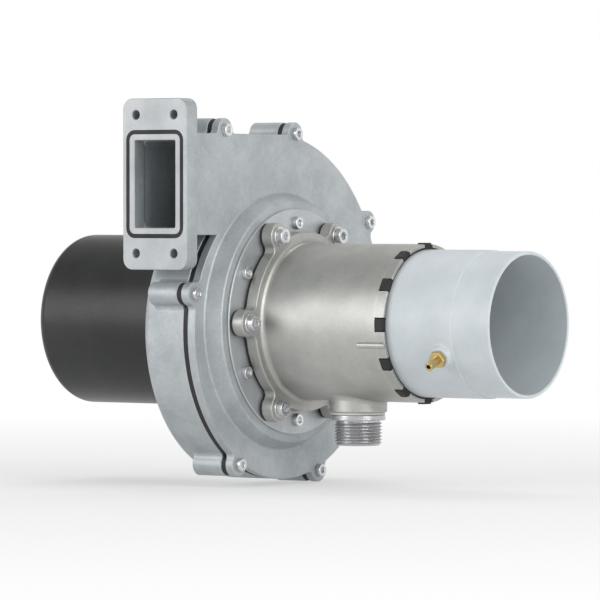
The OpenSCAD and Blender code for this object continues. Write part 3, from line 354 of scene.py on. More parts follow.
def surface(name, dark, light, rough, metal=0.0, rubbed=None, width=0.0006, fineness=900.0, pores=0.0,
            bump=0.2, lines=None, lined=0.3):
    """A finish: two tones, a range of roughness, grain, and where asked rubbed edges and tool lines."""
    made = bpy.data.materials.new(name)
    made.use_nodes = True
    tree = made.node_tree
    shader = tree.nodes["Principled BSDF"]
    shader.inputs["Metallic"].default_value = metal
    grain = node(tree, "Group", {"Fineness": fineness, "Pores": pores}, node_tree=skin_grain).outputs
    ramp = node(tree, "ValToRGB", {"Fac": grain["Tone"]})
    for stop, position, tone in zip(ramp.color_ramp.elements, (0.39, 0.61), (dark, light)):
        stop.position = position
        stop.color = (*tone, 1)
    colour = ramp.outputs["Color"]
    if rubbed:
        edge = node(tree, "Group", {"Width": width}, node_tree=rubbed_edge).outputs["Mask"]
        colour = node(tree, "Mix", {0: edge, 6: colour, 7: (*rubbed, 1)}, data_type="RGBA").outputs[2]
    tree.links.new(colour, shader.inputs["Base Color"])
    tree.links.new(spread(tree, grain["Smudge"], 0.3, 0.7, *rough), shader.inputs["Roughness"])
    height = grain["Height"]
    if lines:
        pulls = {"Along " + axis: pull for axis, pull in zip("XYZ", lines)}
        tooled = node(tree, "Group", pulls, node_tree=tool_lines).outputs["Height"]
        height = reckon(tree, "MULTIPLY_ADD", tooled, lined / bump, height)
    raised = node(tree, "Bump", {"Strength": bump, "Distance": 0.0004, "Height": height})
    tree.links.new(raised.outputs["Normal"], shader.inputs["Normal"])
    return made


cast_aluminium = surface(
    "cast_aluminium", dark=(0.395, 0.425, 0.44), light=(0.505, 0.54, 0.555), rough=(0.5, 0.62), metal=0.6,
    rubbed=(0.66, 0.68, 0.70), width=0.0008, fineness=560.0, pores=0.35, bump=0.4)
ground_face = surface(
    "ground_face", dark=(0.37, 0.385, 0.395), light=(0.46, 0.475, 0.485), rough=(0.46, 0.56), metal=0.7,
    rubbed=(0.62, 0.63, 0.64), fineness=1100.0, lines=(700.0, 10.0, 22.0), lined=0.6)
cast_edge = 0.6
lip = 0.4
duct_end = flange_back + 2 * sunk
shaft_hole_r = 26.0
scroll = bmesh.new()
outer_edge = arc(wall - back_round, back_out + back_round, back_round, 360, 270, count=8)
inner_edge = arc(-inner_round, back_in + inner_round, inner_round, 270, 360, count=5)
section = [(0, joint), (wall - lip, joint), (wall, joint - lip)] + outer_edge + inner_edge
skin(scroll, [[(x, y, z) for x, y in scroll_path(grow, duct_end)] for grow, z in section], ends=(0, -1))
back_path = scroll_path(wall - back_round + 0.1, duct_end)
plate(scroll, [back_path, circle(shaft_hole_r, count=96)], back_out, back_in, edge=0)
for lug in rim_lugs():
    first = Vector(lug[0])
    tip = Vector(lug[len(lug) // 2])
    last = Vector(lug[-1])
    inwards = ((first + last) / 2 - tip).normalized() * wall / 2
    rooted = lug + [tuple(last + inwards), tuple(first + inwards)]
    plate(scroll, [rooted], joint - lug_len, joint, edge=0.7)
flange_h = 94.0
flange_w = 44.0
flange_round = 6.0
bolt_r = 2.5
bolt_depth = 8.0
bolt_up = 38.0
bolt_side = 13.0
bolt_spots = [(up, side) for up in (-bolt_up, bolt_up) for side in (-bolt_side, bolt_side)]
bolt_holes = [circle(bolt_r, 32, up, side) for up, side in bolt_spots]
flange_loops = [rounded_rect(flange_h, flange_w, flange_round), rounded_rect(outlet_h, scroll_w, 1)]
plate(scroll, flange_loops + bolt_holes, 0, flange_t, cast_edge, on_outlet)
for up, side in bolt_spots:
    plate(scroll, [circle(bolt_r + sunk, 24, up, side)], bolt_depth, bolt_depth + 1.5, 0, on_outlet)
pad_out = back_out - 3.0
plate(scroll, [motor_outline(grow=1), circle(shaft_hole_r, count=96)], pad_out, back_out + sunk, cast_edge)
casting = piece("scroll_casting", scroll, "housing", "cast_aluminium", cast_aluminium, "scroll_body")
level = 0.99
flush = 1e-5
faced(casting, ground_face, lambda at, way: way.y < -level and at.y < flush)

# Outlet seal: a black rubber cord in a groove round the outlet opening. It stands a little proud of the
# flange and is squeezed flat when the fan is bolted on.
cord_near = 3.1
cord_far = 5.9
cord_proud = 0.35
cord_depth = 2.4
black_rubber = surface(
    "black_rubber", dark=(0.010, 0.010, 0.011), light=(0.022, 0.022, 0.024), rough=(0.55, 0.75),
    fineness=1400.0, bump=0.3)
cord = bmesh.new()
cord_loops = [rounded_rect(outlet_h + 2 * out, scroll_w + 2 * out, out) for out in (cord_far, cord_near)]
plate(cord, cord_loops, -cord_proud, cord_depth, edge=0.9, place=on_outlet)
piece("outlet_cord", cord, "housing", "rubber", black_rubber, "outlet_seal")


# Scroll seal: a moulded gasket of black rubber that follows the spiral's wall. The rim screws clamp it
# between the two halves, where it shows as a dark line.
def dressed(finish, *names):
    """Gives nodes that keep the shape of their solids a finish."""
    for name in names:
        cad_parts[name].data.materials[0] = finish


dressed(black_rubber, "scroll_seal")

# Scroll cover: the inlet-side half, die cast like the body. Its middle is raised on a sloping shoulder and
# carries the inlet nozzle and the mixer; screws through the lugs hold it on the body.
rim_front = cover_low + 5.0
raised_front = rim_front + 9.0
raised_back = raised_front - 6.0
raised_r = scroll_r - spiral_step / 2 - 5.0
shoulder_top_r = raised_r - 4.0
shoulder_foot_r = raised_r + 0.2
shoulder_in_r = raised_r - 2.0
hollow_r = shoulder_top_r - wall
cover_hole_r = 41.0
cover_end = flange_back - 1.5


def rounded(corners):
    """A closed section whose corners (r, z, rounding) are rounded."""
    points = []
    for i, (r, z, rounding) in enumerate(corners):
        here = Vector((r, z))
        if not rounding:
            points.append((r, z))
            continue
        before = (Vector(corners[i - 1][:2]) - here).normalized()
        after = (Vector(corners[(i + 1) % len(corners)][:2]) - here).normalized()
        half = before.angle(after) / 2
        centre = here + (before + after).normalized() * rounding / math.sin(half)
        start = here + before * rounding / math.tan(half) - centre
        end = here + after * rounding / math.tan(half) - centre
        swing = math.degrees(math.atan2(start.x * end.y - start.y * end.x, start.dot(end)))
        first = math.degrees(math.atan2(start.y, start.x))
        count = max(3, round(abs(swing) / 12))
        points += arc(centre.x, centre.y, rounding, first, first + swing, count)
    return points


def turned(blank, section, count=144, place=lambda x, y, z: (x, y, z)):
    """A closed section of (r, z) turned round the z axis, then put in its place in the fan."""
    rings = []
    for r, z in section:
        rings.append([blank.verts.new(to_row(place(x, y, z))) for x, y in circle(r, count)])
    for a, b in zip(rings, rings[1:] + rings[:1]):
        for i in range(count):
            blank.faces.new((a[i - 1], a[i], b[i], b[i - 1]))


cover = bmesh.new()
cover_outline = with_bosses(scroll_path(wall, cover_end), rim_lugs())
plate(cover, [cover_outline, circle(raised_r - 3, count=144)], cover_low, rim_front, cast_edge)
turned(cover, rounded([
    (raised_r + 2.5, rim_front - 0.02, 0), (shoulder_foot_r, rim_front, 1.6),
    (shoulder_top_r, raised_front, 1.4), (cover_hole_r, raised_front, 0.6),
    (cover_hole_r, raised_back, 0.5), (hollow_r, raised_back, 2), (hollow_r, cover_low, 0),
    (shoulder_in_r, cover_low, 0), (shoulder_in_r, rim_front - 1, 0)]))
piece("scroll_front", cover, "housing", "cast_aluminium", cast_aluminium, "scroll_cover")

# Rim screws: cap screws of zinc-plated steel with a hexagon socket. One goes through each lug of the cover
# into the lug of the body behind it.
small_screw = {"head_r": 3.6, "head_h": 2.6, "shank_r": 1.6}
to_inlet = 1
to_motor = -1
bright_zinc = surface(
    "bright_zinc", dark=(0.60, 0.61, 0.63), light=(0.78, 0.79, 0.80), rough=(0.18, 0.34), metal=1.0,
    rubbed=(0.9, 0.9, 0.9), width=0.0004, fineness=1200.0, bump=0.12)


def socket_screw(blank, place, length, head_r, head_h, shank_r):
    """A cap screw seated on z = 0 with its head at +z: rounded head, hexagon socket and shank."""
    head_edge = min(0.45, head_h / 5)
    plate(blank, [circle(head_r, count=48), circle(head_r * 0.5, count=6)], 0, head_h, head_edge, place)
    plate(blank, [circle(head_r * 0.6, count=6)], 0.1, head_h * 0.45, 0.05, place)
    plate(blank, [circle(shank_r, count=24)], -length, 0.2, 0.2, place)


def screws(name, node_name, slot, finish, spots, seat, way, length, sizes):
    """Like screws seated at spots round the shaft, with their heads to the inlet or to the motor."""
    made = bmesh.new()
    for x, y in spots:
        c, s = polar(1, 3 * math.degrees(math.atan2(y, x)))
        socket_screw(
            made, lambda a, b, h: (x + c * a - s * b, y + (s * a + c * b) * way, seat + h * way),
            length, **sizes)
    piece(name, made, "housing", slot, finish, node_name)


lug_spots = []
for angle in lug_angles:
    cx, cy, r = spiral_quarter(angle)
    lug_spots.append(polar(r + wall + lug_out, angle, cx, cy))
lug_spots.append((outlet_lug_x, outlet_top + wall + lug_out))
screws("rim_screws", "scroll_screws", "zinc_steel", bright_zinc, lug_spots, rim_front, to_inlet,
       length=20.0, sizes=small_screw)

# Inlet nozzle: pressed from aluminium sheet, a flat ring that turns inwards in a rounded mouth and reaches
# into the impeller's eye. It is clamped under the mixer and held by its own small screws.
sheet_t = 1.5
plate_r = 63.0
plate_front = raised_front + sheet_t
nozzle_r = 33.0
nozzle_out_r = nozzle_r + sheet_t
nozzle_end = 9.5
tip_edge = 0.3
mouth_round = 6.0
mouth_r = nozzle_r + mouth_round
mouth_z = plate_front - mouth_round
ring_r = 55.0
ring_count = 6
rolled_sheet = surface(
    "rolled_sheet", dark=(0.46, 0.485, 0.50), light=(0.58, 0.605, 0.62), rough=(0.42, 0.55), metal=0.85,
    rubbed=(0.8, 0.8, 0.8), width=0.0005, fineness=1000.0, bump=0.1, lines=(30.0, 1800.0, 60.0), lined=0.12)
nozzle = bmesh.new()
plate_edge = [
    (plate_r - lip, raised_front), (plate_r, raised_front + lip), (plate_r, plate_front - lip),
    (plate_r - lip, plate_front)]
front_bend = arc(mouth_r, mouth_z, mouth_round, 90, 180, count=10)
nozzle_tip = [
    (nozzle_r, nozzle_end + tip_edge), (nozzle_r + 0.5, nozzle_end), (nozzle_out_r - tip_edge, nozzle_end),
    (nozzle_out_r, nozzle_end + tip_edge)]
back_bend = arc(mouth_r, mouth_z, mouth_round - sheet_t, 180, 90, count=10)
turned(nozzle, plate_edge + front_bend + nozzle_tip + back_bend + [(mouth_r + 0.5, raised_front)])
piece("nozzle_ring", nozzle, "housing", "sheet_metal", rolled_sheet, "inlet_nozzle")


def around(count, r, first):
    """Spots spread evenly on a circle round the shaft."""
    return arc(0, 0, r, first, first + 360, count)[:-1]


small_spots = around(ring_count, ring_r, first=180 / ring_count)
screws("small_ring_screws", "nozzle_screws", "zinc_steel", bright_zinc, small_spots, plate_front, to_inlet,
       length=7.5, sizes=small_screw)

# Gaskets: flat sheet of dark pressed fibre, cut to the outline of the pieces that they seal. The mixer's,
# the motor's and the shaft's are all clamped dry.
gasket_t = 1.5
fibre_sheet = surface(
    "fibre_sheet", dark=(0.020, 0.020, 0.021), light=(0.045, 0.044, 0.043), rough=(0.7, 0.9),
    fineness=1600.0, bump=0.4)
dressed(fibre_sheet, "mixer_gasket", "motor_gasket", "shaft_seal")

# Mixer: a cast and turned tube in which air and gas meet. Its foot has a lobe for each large screw, its
# far end is notched for the rubber of the air adapter, and a boss underneath takes the gas stub.
mixer_face = plate_front + gasket_t
lobe_front = mixer_face + 7.0
mixer_end = mixer_face + 88.5
seat_z = mixer_end - 14.0
adapter_r = 40.6
seat_r = adapter_r + 1.0
tube_r = seat_r + 2.0
tube_fillet = 3.0
tube_root = 0.4
bore_r = seat_r - 2.5
waist_r = 50.0
lobe_r = 7.5
lobe_fillet = 3.5
notch_count = 12
notch_turn = 360 / notch_count
notch_w = 8.0
notch_d = 6.0
notch_z = mixer_end - notch_d
bead_r = 1.8
bead_len = 18.0
gas_r = 8.5
gas_at = mixer_face + 41.0
gas_boss_r = 16.0
gas_boss_end = tube_r + 6.0
gas_boss_root = bore_r + 0.7
gas_fillet = 2.5
shank_r = 11.0
shank_end = gas_boss_end - 5.0
satin_tube = surface(
    "satin_tube", dark=(0.42, 0.42, 0.40), light=(0.51, 0.51, 0.485), rough=(0.42, 0.50), metal=0.85,
    rubbed=(0.70, 0.69, 0.66), width=0.0008, bump=0.14, lines=(1100.0, 14.0, 14.0), lined=0.28)


def radial(angle, z):
    """Places a piece with its own z axis along the radius at that angle round the shaft."""
    c, s = polar(1, angle)
    return lambda a, b, h: (c * h - s * a, s * h + c * a, z + b)


def saddle(r, base, up, place):
    """A ring of points round a boss's axis that follows a tube of radius base at a height over it."""
    ring = arc(0, 0, r, 0, 360, count=72)
    return [place(across, along, math.sqrt(base ** 2 - across ** 2) + up) for across, along in ring]


def flare(blank, r, fillet, base, place):
    """The fillet between a round boss of radius r and the tube that it stands on."""
    skim = 0.03
    rows = []
    for u, v in arc(0, 0, fillet, 0, 90, count=6):
        rows.append(saddle(r + fillet - v, base, fillet - u - skim, place))
    skin(blank, rows + [saddle(r - 1, base, -1.2, place)])


def drilled(blank, r, low, high, place):
    """Cuts a round hole through what a mesh holds so far."""
    drill = bmesh.new()
    plate(drill, [circle(r, count=48)], low, high, 0, place)
    made = []
    for part in (blank, drill):
        bmesh.ops.remove_doubles(part, verts=part.verts, dist=weld)
        bmesh.ops.recalc_face_normals(part, faces=part.faces)
        made.append(bpy.data.objects.new("blank", bpy.data.meshes.new("blank")))
        part.to_mesh(made[-1].data)
        bpy.context.scene.collection.objects.link(made[-1])
    cut = made[0].modifiers.new("hole", "BOOLEAN")
    cut.operation = "DIFFERENCE"
    cut.solver = "EXACT"
    cut.object = made[1]
    mesh = bpy.data.meshes.new_from_object(made[0].evaluated_get(bpy.context.evaluated_depsgraph_get()))
    blank.clear()
    blank.from_mesh(mesh)
    drill.free()
    bpy.data.meshes.remove(mesh)
    for part in made:
        bpy.data.meshes.remove(part.data)


mixer = bmesh.new()
turned(mixer, rounded([
    (tube_r + tube_fillet, lobe_front - tube_root, 0), (tube_r + tube_fillet, lobe_front, 0),
    (tube_r, lobe_front, tube_fillet - 0.1), (tube_r, notch_z, 0), (seat_r, notch_z, 0),
    (seat_r, seat_z, 0.4), (bore_r, seat_z, 0.4), (bore_r, mixer_face + sunk, 0.3),
    (tube_r + tube_root, mixer_face + sunk, 0)]))
downwards = radial(270, gas_at)
drilled(mixer, gas_r, bore_r - 4, tube_r + 1, downwards)
lobes = []
for i in range(1, ring_count + 1):
    lobes.append(boss(waist_r, ring_r - waist_r, lobe_r, lobe_fillet, 360 / ring_count * i))
foot = with_bosses(around(180, waist_r, first=180 / ring_count), lobes)
plate(mixer, [foot, circle(bore_r, count=144)], mixer_face, lobe_front, edge=0.7)
half_notch = math.degrees(notch_w / tube_r) / 2
for i in range(notch_count):
    first = notch_turn * i + half_notch
    last = notch_turn * (i + 1) - half_notch
    tooth = arc(0, 0, tube_r, first, last, count=12) + arc(0, 0, seat_r, last, first, count=12)
    plate(mixer, [tooth], notch_z - tube_root, mixer_end, edge=0.35)
gas_boss = rounded([
    (gas_boss_r, gas_boss_end, 0.7), (gas_boss_r, gas_boss_root, 0), (gas_r, gas_boss_root, 0),
    (gas_r, shank_end - 0.1, 0), (shank_r, shank_end - 0.1, 0), (shank_r, gas_boss_end, 0.4)])
turned(mixer, gas_boss, 96, downwards)
flare(mixer, gas_boss_r, gas_fillet, tube_r, downwards)
bead_c, bead_s = polar(1, 180 + notch_turn / 2)
bead = arc(tube_r, 0, bead_r, -90, 90, count=12) + [(tube_r - 1, 0)]
plate(mixer, [bead], mixer_end - bead_len, mixer_end, 0.5,
      lambda a, b, c: (a * bead_c - b * bead_s, a * bead_s + b * bead_c, c))
piece("mixer_tube", mixer, "housing", "mixer_metal", satin_tube, "mixer_body")

# Mixer screws: larger cap screws of the same zinc-plated steel, each with a flat washer. They go through
# the lobes and the nozzle's plate into the cover.
washer_r = 5.4
washer_t = 1.0
washer_hole_r = 2.5
large_screw = {"head_r": 4.4, "head_h": 3.4, "shank_r": 2.05}
large_spots = around(ring_count, ring_r, first=0)
washer = rounded([
    (washer_r, 0, 0.25), (washer_r, washer_t, 0.35), (washer_hole_r, washer_t, 0.1),
    (washer_hole_r, 0, 0.1)])
washers = bmesh.new()
for x, y in large_spots:
    turned(washers, washer, 48, lambda a, b, c: (x + a, y + b, lobe_front + c))
piece("ring_washers", washers, "housing", "zinc_steel", bright_zinc, "mixer_washers")
screws("large_ring_screws", "mixer_screws", "zinc_steel", bright_zinc, large_spots, lobe_front + washer_t,
       to_inlet, length=17.0, sizes=large_screw)

# Venturi: two cones moulded in dark plastic and pushed into the tube from its two ends. The ring gap
# between their tips lets the gas in.
dark_moulding = surface(
    "dark_moulding", dark=(0.022, 0.022, 0.024), light=(0.04, 0.04, 0.042), rough=(0.36, 0.5),
    fineness=1300.0, bump=0.15)
dressed(dark_moulding, "venturi_inlet", "venturi_diffuser")

# Gas stub: turned from steel bar, bored for the gas, with a collar and an outside pipe thread. It is
# screwed into the boss under the mixer, on a sealing washer of pale plastic.
stub_washer_t = 1.5
squeeze = 0.05
collar_low = gas_boss_end + stub_washer_t
collar_high = collar_low + 3.0
collar_r = 15.0
stub_end = collar_high + 14.0
stub_core_r = 12.0
stub_shank_r = shank_r - 0.1
pitch = 1.814
root_r = 11.95
crest_r = 13.2
flank_top = 1.25
flank_slope = 1.5
thread_low = collar_high + 0.5
thread_high = stub_end - 0.3
run_in = 1.2
run_out = 1.4
inside_r = 9.5
inside_at = 61.0
turn_parts = 96
pitch_parts = 8
turned_steel = surface(
    "turned_steel", dark=(0.42, 0.42, 0.43), light=(0.58, 0.58, 0.59), rough=(0.22, 0.36), metal=1.0,
    rubbed=(0.8, 0.8, 0.8), width=0.0004, fineness=1200.0, bump=0.1, lines=(400.0, 400.0, 1500.0),
    lined=0.12)
pale_nylon = surface(
    "pale_nylon", dark=(0.62, 0.62, 0.58), light=(0.74, 0.74, 0.70), rough=(0.38, 0.52), fineness=1300.0,
    bump=0.12)
stub = bmesh.new()
stub_section = rounded([
    (stub_shank_r, shank_end, 0.3), (stub_shank_r, collar_low + 0.1, 0), (collar_r, collar_low, 0.4),
    (collar_r, collar_high, 0.5), (stub_core_r, collar_high, 0.2), (stub_core_r, stub_end, 0.6),
    (gas_r, stub_end, 0.5), (gas_r, shank_end, 0.3)])
turned(stub, stub_section, turn_parts, downwards)
rows = []
for k in range(math.ceil((thread_high - thread_low) / pitch + 1) * pitch_parts + 1):
    from_crest = abs(2 * (k / pitch_parts % 1.0) - 1)
    rise = min(1.0, max(0.0, flank_top - flank_slope * from_crest))
    row = []
    for i in range(turn_parts + 1):
        lead = thread_low + pitch * (k / pitch_parts - 1 + i / turn_parts)
        height = min(thread_high, max(thread_low, lead))
        fade = min(1.0, (height - thread_low) / run_in, (thread_high - height) / run_out)
        r = root_r + (crest_r - root_r) * fade * rise
        row.append(downwards(*polar(r, 360 * i / turn_parts), height))
    rows.append(row)
inside = [downwards(x, y, inside_at) for x, y in arc(0, 0, inside_r, 0, 360, turn_parts)]
skin(stub, rows + [inside])
piece("gas_thread", stub, "housing", "steel", turned_steel, "gas_stub")
stub_washer = bmesh.new()
washer_low = gas_boss_end + squeeze
washer_high = collar_low - squeeze
washer_out_r = collar_r - 0.1
washer_section = rounded([
    (washer_out_r, washer_low, 0.5), (washer_out_r, washer_high, 0.5), (shank_r, washer_high, 0.1),
    (shank_r, washer_low, 0.1)])
turned(stub_washer, washer_section, turn_parts, downwards)
piece("stub_seal", stub_washer, "housing", "white_plastic", pale_nylon, "gas_washer")

# Inlet rubber: a moulded ring of black rubber that seals the adapter in the tube. A lug on it fills each
# notch of the tube, so that neither can turn.
rubber_low = seat_z + 2.0
rubber_high = mixer_end - 0.5
rubber_out_r = seat_r - 0.02
rubber_in_r = adapter_r + 0.02
rubber_gap = 0.5
rubber_up = 0.7
rubber = bmesh.new()
turned(rubber, rounded([
    (rubber_out_r, rubber_low, 0), (rubber_out_r, rubber_high, 0.2), (rubber_in_r, rubber_high, 0.2),
    (rubber_in_r, rubber_low, 0)]))
rubber_lug = rounded_rect(notch_w - 2 * rubber_gap, notch_d - 2 * rubber_gap, 0.9)
for i in range(notch_count):
    in_notch = radial(notch_turn * i, mixer_end - notch_d / 2)
    plate(rubber, [rubber_lug], adapter_r + 0.4, tube_r + rubber_up, edge=0.5, place=in_notch)
piece("notched_rubber", rubber, "housing", "rubber", black_rubber, "inlet_rubber")

# Air adapter: a sleeve moulded in pale plastic and pushed into the rubber in the mixer's end. Its outer end
# steps down to a spigot, and a small boss on its side carries the pressure nipple.
spigot_r = 40.0
adapter_bore_r = adapter_r - 2.6
adapter_low = seat_z + 1.0
spigot_z = mixer_end + 42.0
adapter_end = spigot_z + 24.0
nipple_r = 2.5
nipple_seat = adapter_r + 3.0
nipple_boss_r = 6.0
nipple_boss_root = adapter_bore_r + 0.4
nipple_hole_r = nipple_r + 0.05
nipple_fillet = 1.6
on_nipple = radial(204, mixer_end + 34.0)
pale_sleeve = surface(
    "pale_sleeve", dark=(0.56, 0.61, 0.635), light=(0.63, 0.68, 0.705), rough=(0.32, 0.46),
    rubbed=(0.72, 0.77, 0.80), width=0.0008, fineness=1300.0, bump=0.14, lines=(900.0, 10.0, 10.0),
    lined=0.06)
sleeve = bmesh.new()
turned(sleeve, rounded([
    (adapter_r, adapter_low, 0.5), (adapter_r, spigot_z, 0.5), (spigot_r, spigot_z, 0),
    (spigot_r, adapter_end, 1.1), (adapter_bore_r, adapter_end, 0.7), (adapter_bore_r, adapter_low, 0.8)]))
drilled(sleeve, nipple_r, adapter_bore_r - 2, adapter_r + 1.4, on_nipple)
nipple_boss = rounded([
    (nipple_boss_r, nipple_boss_root, 0), (nipple_boss_r, nipple_seat, 0.7),
    (nipple_hole_r, nipple_seat, 0.3), (nipple_hole_r, nipple_boss_root, 0)])
turned(sleeve, nipple_boss, 64, on_nipple)
flare(sleeve, nipple_boss_r, nipple_fillet, adapter_r, on_nipple)
piece("hose_sleeve", sleeve, "housing", "pale_plastic", pale_sleeve, "air_adapter")

# Pressure nipple: a small tail turned from hexagon brass bar and bored through. Its stem is screwed into
# the boss of the adapter.
hexagon_r = 5.0
hexagon_hole_r = 2.2
hexagon_end = nipple_seat + 3.0
tail_end = hexagon_end + 8.0
tail_bore_r = 1.25
stem_r = nipple_r - 0.05
stem_low = adapter_r - 1.3
yellow_brass = surface(
    "yellow_brass", dark=(0.46, 0.34, 0.14), light=(0.62, 0.48, 0.22), rough=(0.26, 0.42), metal=1.0,
    rubbed=(0.80, 0.67, 0.38), width=0.0004, fineness=1200.0, bump=0.12)
nipple = bmesh.new()
hexagon = [around(6, hexagon_r, first=30), circle(hexagon_hole_r, count=24)]
plate(nipple, hexagon, nipple_seat, hexagon_end, edge=0.35, place=on_nipple)
tail = rounded([
    (stem_r, stem_low, 0), (stem_r, nipple_seat, 0), (nipple_r, nipple_seat, 0), (nipple_r, tail_end, 0.6),
    (tail_bore_r, tail_end, 0.2), (tail_bore_r, stem_low, 0)])
turned(nipple, tail, 48, on_nipple)
piece("sensing_tail", nipple, "housing", "brass", yellow_brass, "pressure_nipple")

# Motor flange: a cast plate with four ears, between the scroll's pad and the black cap. Its inner side
# holds the front bearing and the stator; screws through the ears pull it on the pad.
flange_front = pad_out - gasket_t
flange_rear = flange_front - 6.0
flange_dish = flange_front - 1.5
pilot_r = shaft_hole_r - 0.1
pilot_end = back_in - 0.5
seal_seat_r = 9.0
seal_seat_end = pilot_end - 4.0
shaft_way_r = 5.0
bearing_r = 11.0
bearing_out_r = bearing_r + 4.0
bearing_front = -35.0
bearing_rear = bearing_front - 8.0
stator_bore_r = 34.5
stator_r = 37.0
stator_front = -48.5
holder_r = 44.0
holder_end = stator_front - 5.0
cap_seat_r = 45.4
cap_seat_end = flange_rear - 3.0
flange = bmesh.new()
plate(flange, [motor_outline(grow=0), circle(holder_r, count=128)], flange_rear, flange_front, cast_edge)
turned(flange, rounded([
    (holder_r + sunk, flange_dish, 0), (pilot_r, flange_dish, 0), (pilot_r, pilot_end, 0.5),
    (seal_seat_r, pilot_end, 0.3), (seal_seat_r, seal_seat_end, 0), (shaft_way_r, seal_seat_end, 0),
    (shaft_way_r, bearing_front, 0), (bearing_r, bearing_front, 0), (bearing_r, bearing_rear, 0.4),
    (bearing_out_r, bearing_rear, 0.6), (bearing_out_r, flange_rear, 0), (stator_bore_r, flange_rear, 0),
    (stator_bore_r, stator_front, 0), (stator_r, stator_front, 0), (stator_r, holder_end, 0.4),
    (holder_r, holder_end, 0.4), (holder_r, cap_seat_end, 0), (cap_seat_r, cap_seat_end, 0.3),
    (cap_seat_r, flange_rear + 0.1, 0)]))
piece("motor_plate", flange, "housing", "cast_aluminium", cast_aluminium, "motor_flange")
ear_spots = around(len(ear_angles), motor_r + ear_out, first=ear_angles[0])
screws("ear_screws", "motor_screws", "zinc_steel", bright_zinc, ear_spots, flange_rear, to_motor,
       length=12.0, sizes=large_screw)

# Motor inside: bearings, stator, coils and rotor behind the flange. They are hidden by the cap and keep
# the solids' shapes, each with the finish of its metal, wire or moulding.
dressed(turned_steel, "bearing_outer_rings", "bearing_inner_rings", "bearing_balls", "preload_spring",
        "tie_bolts", "shaft")
dressed(yellow_brass, "bearing_cages")
dressed(cast_aluminium, "rear_shield")
stacked_iron = surface(
    "stacked_iron", dark=(0.16, 0.16, 0.17), light=(0.24, 0.24, 0.25), rough=(0.35, 0.5), metal=0.9,
    fineness=1000.0, bump=0.25, lines=(2200.0, 4.0, 4.0), lined=0.5)
dressed(stacked_iron, "stator_core", "rotor_core")
wound_copper = surface(
    "wound_copper", dark=(0.42, 0.15, 0.05), light=(0.60, 0.25, 0.09), rough=(0.22, 0.34), metal=1.0,
    lines=(60.0, 1600.0, 1600.0), lined=0.5)
dressed(wound_copper, "stator_coils")
dressed(pale_nylon, "coil_formers")
pressed_ferrite = surface(
    "pressed_ferrite", dark=(0.025, 0.025, 0.026), light=(0.05, 0.05, 0.05), rough=(0.5, 0.65),
    fineness=1100.0, pores=0.2, bump=0.3)
dressed(pressed_ferrite, "rotor_magnet", "board_choke")

# Motor electronics: a lacquered round board on the posts of the rear shield, with capacitors, a choke and
# driver chips. Two moulded sockets with brass pins stand on it and look out of the far side of the cap.
green_lacquer = surface(
    "green_lacquer", dark=(0.015, 0.10, 0.045), light=(0.03, 0.16, 0.075), rough=(0.2, 0.32),
    fineness=1000.0, lines=(1.0, 700.0, 90.0))
dressed(green_lacquer, "circuit_board")
drawn_can = surface(
    "drawn_can", dark=(0.10, 0.10, 0.12), light=(0.2, 0.2, 0.22), rough=(0.25, 0.4), metal=0.4,
    fineness=1000.0, bump=0.1)
dressed(drawn_can, "board_capacitors")
chip_resin = surface(
    "chip_resin", dark=(0.012, 0.012, 0.012), light=(0.024, 0.024, 0.024), rough=(0.5, 0.65),
    fineness=1500.0, bump=0.25)
dressed(chip_resin, "board_chips")
socket_w = 20.0
socket_h = 11.0
socket_wall = 1.5
socket_round = 0.8
socket_z = -106.6
socket_side = 13.0
socket_back = 34.0
socket_floor = socket_back + 6.0
socket_front = 55.0
latch_back = socket_front - 6.0
latch_front = socket_front - 1.0
latch = [(-3, 0), (3, 0), (2.4, 1.6), (-2.4, 1.6)]
rib_w = 1.2
rib_h = 1.6
rib_side = 6.5
rib_up = 3.4
pin_w = 1.0


def socket_outline(inset, r):
    """Outline of a socket, drawn in from its outside."""
    return rounded_rect(socket_w - 2 * inset, socket_h - 2 * inset, r)


def sideways(y, up=0.0):
    """Places a piece with its own z axis out of the far side of the cap, at the sockets' level."""
    return lambda a, b, c: (c, y + a, socket_z + up + b)


for name, side in (("power_socket", -socket_side), ("signal_socket", socket_side)):
    socket = bmesh.new()
    shell = [socket_outline(0, socket_round), socket_outline(socket_wall, socket_round / 2)]
    plate(socket, shell, socket_back, socket_front, 0.4, sideways(side))
    base = socket_outline(socket_round, socket_round / 2)
    plate(socket, [base], socket_back + 0.2, socket_floor, 0.05, sideways(side))
    plate(socket, [latch], latch_back, latch_front, 0.2,
          lambda a, b, c: (c, side + a, socket_z - socket_h / 2 - b))
    rib = rounded_rect(rib_w, rib_h, 0.3)
    for y in (side - rib_side, side + rib_side):
        plate(socket, [rib], socket_floor + 1, latch_front, 0.1, sideways(y, rib_up))
    piece("plug_" + name, socket, "housing", "white_plastic", pale_nylon, name)
pins = bmesh.new()
for side, count, apart in ((-socket_side, 3, 5.0), (socket_side, 5, 3.0)):
    for i in range(count):
        y = side + (i - (count - 1) / 2) * apart
        plate(pins, [rounded_rect(pin_w, pin_w, 0.2)], socket_floor - 0.2, latch_back, 0.25, sideways(y))
piece("contact_pins", pins, "housing", "brass", yellow_brass, "socket_pins")

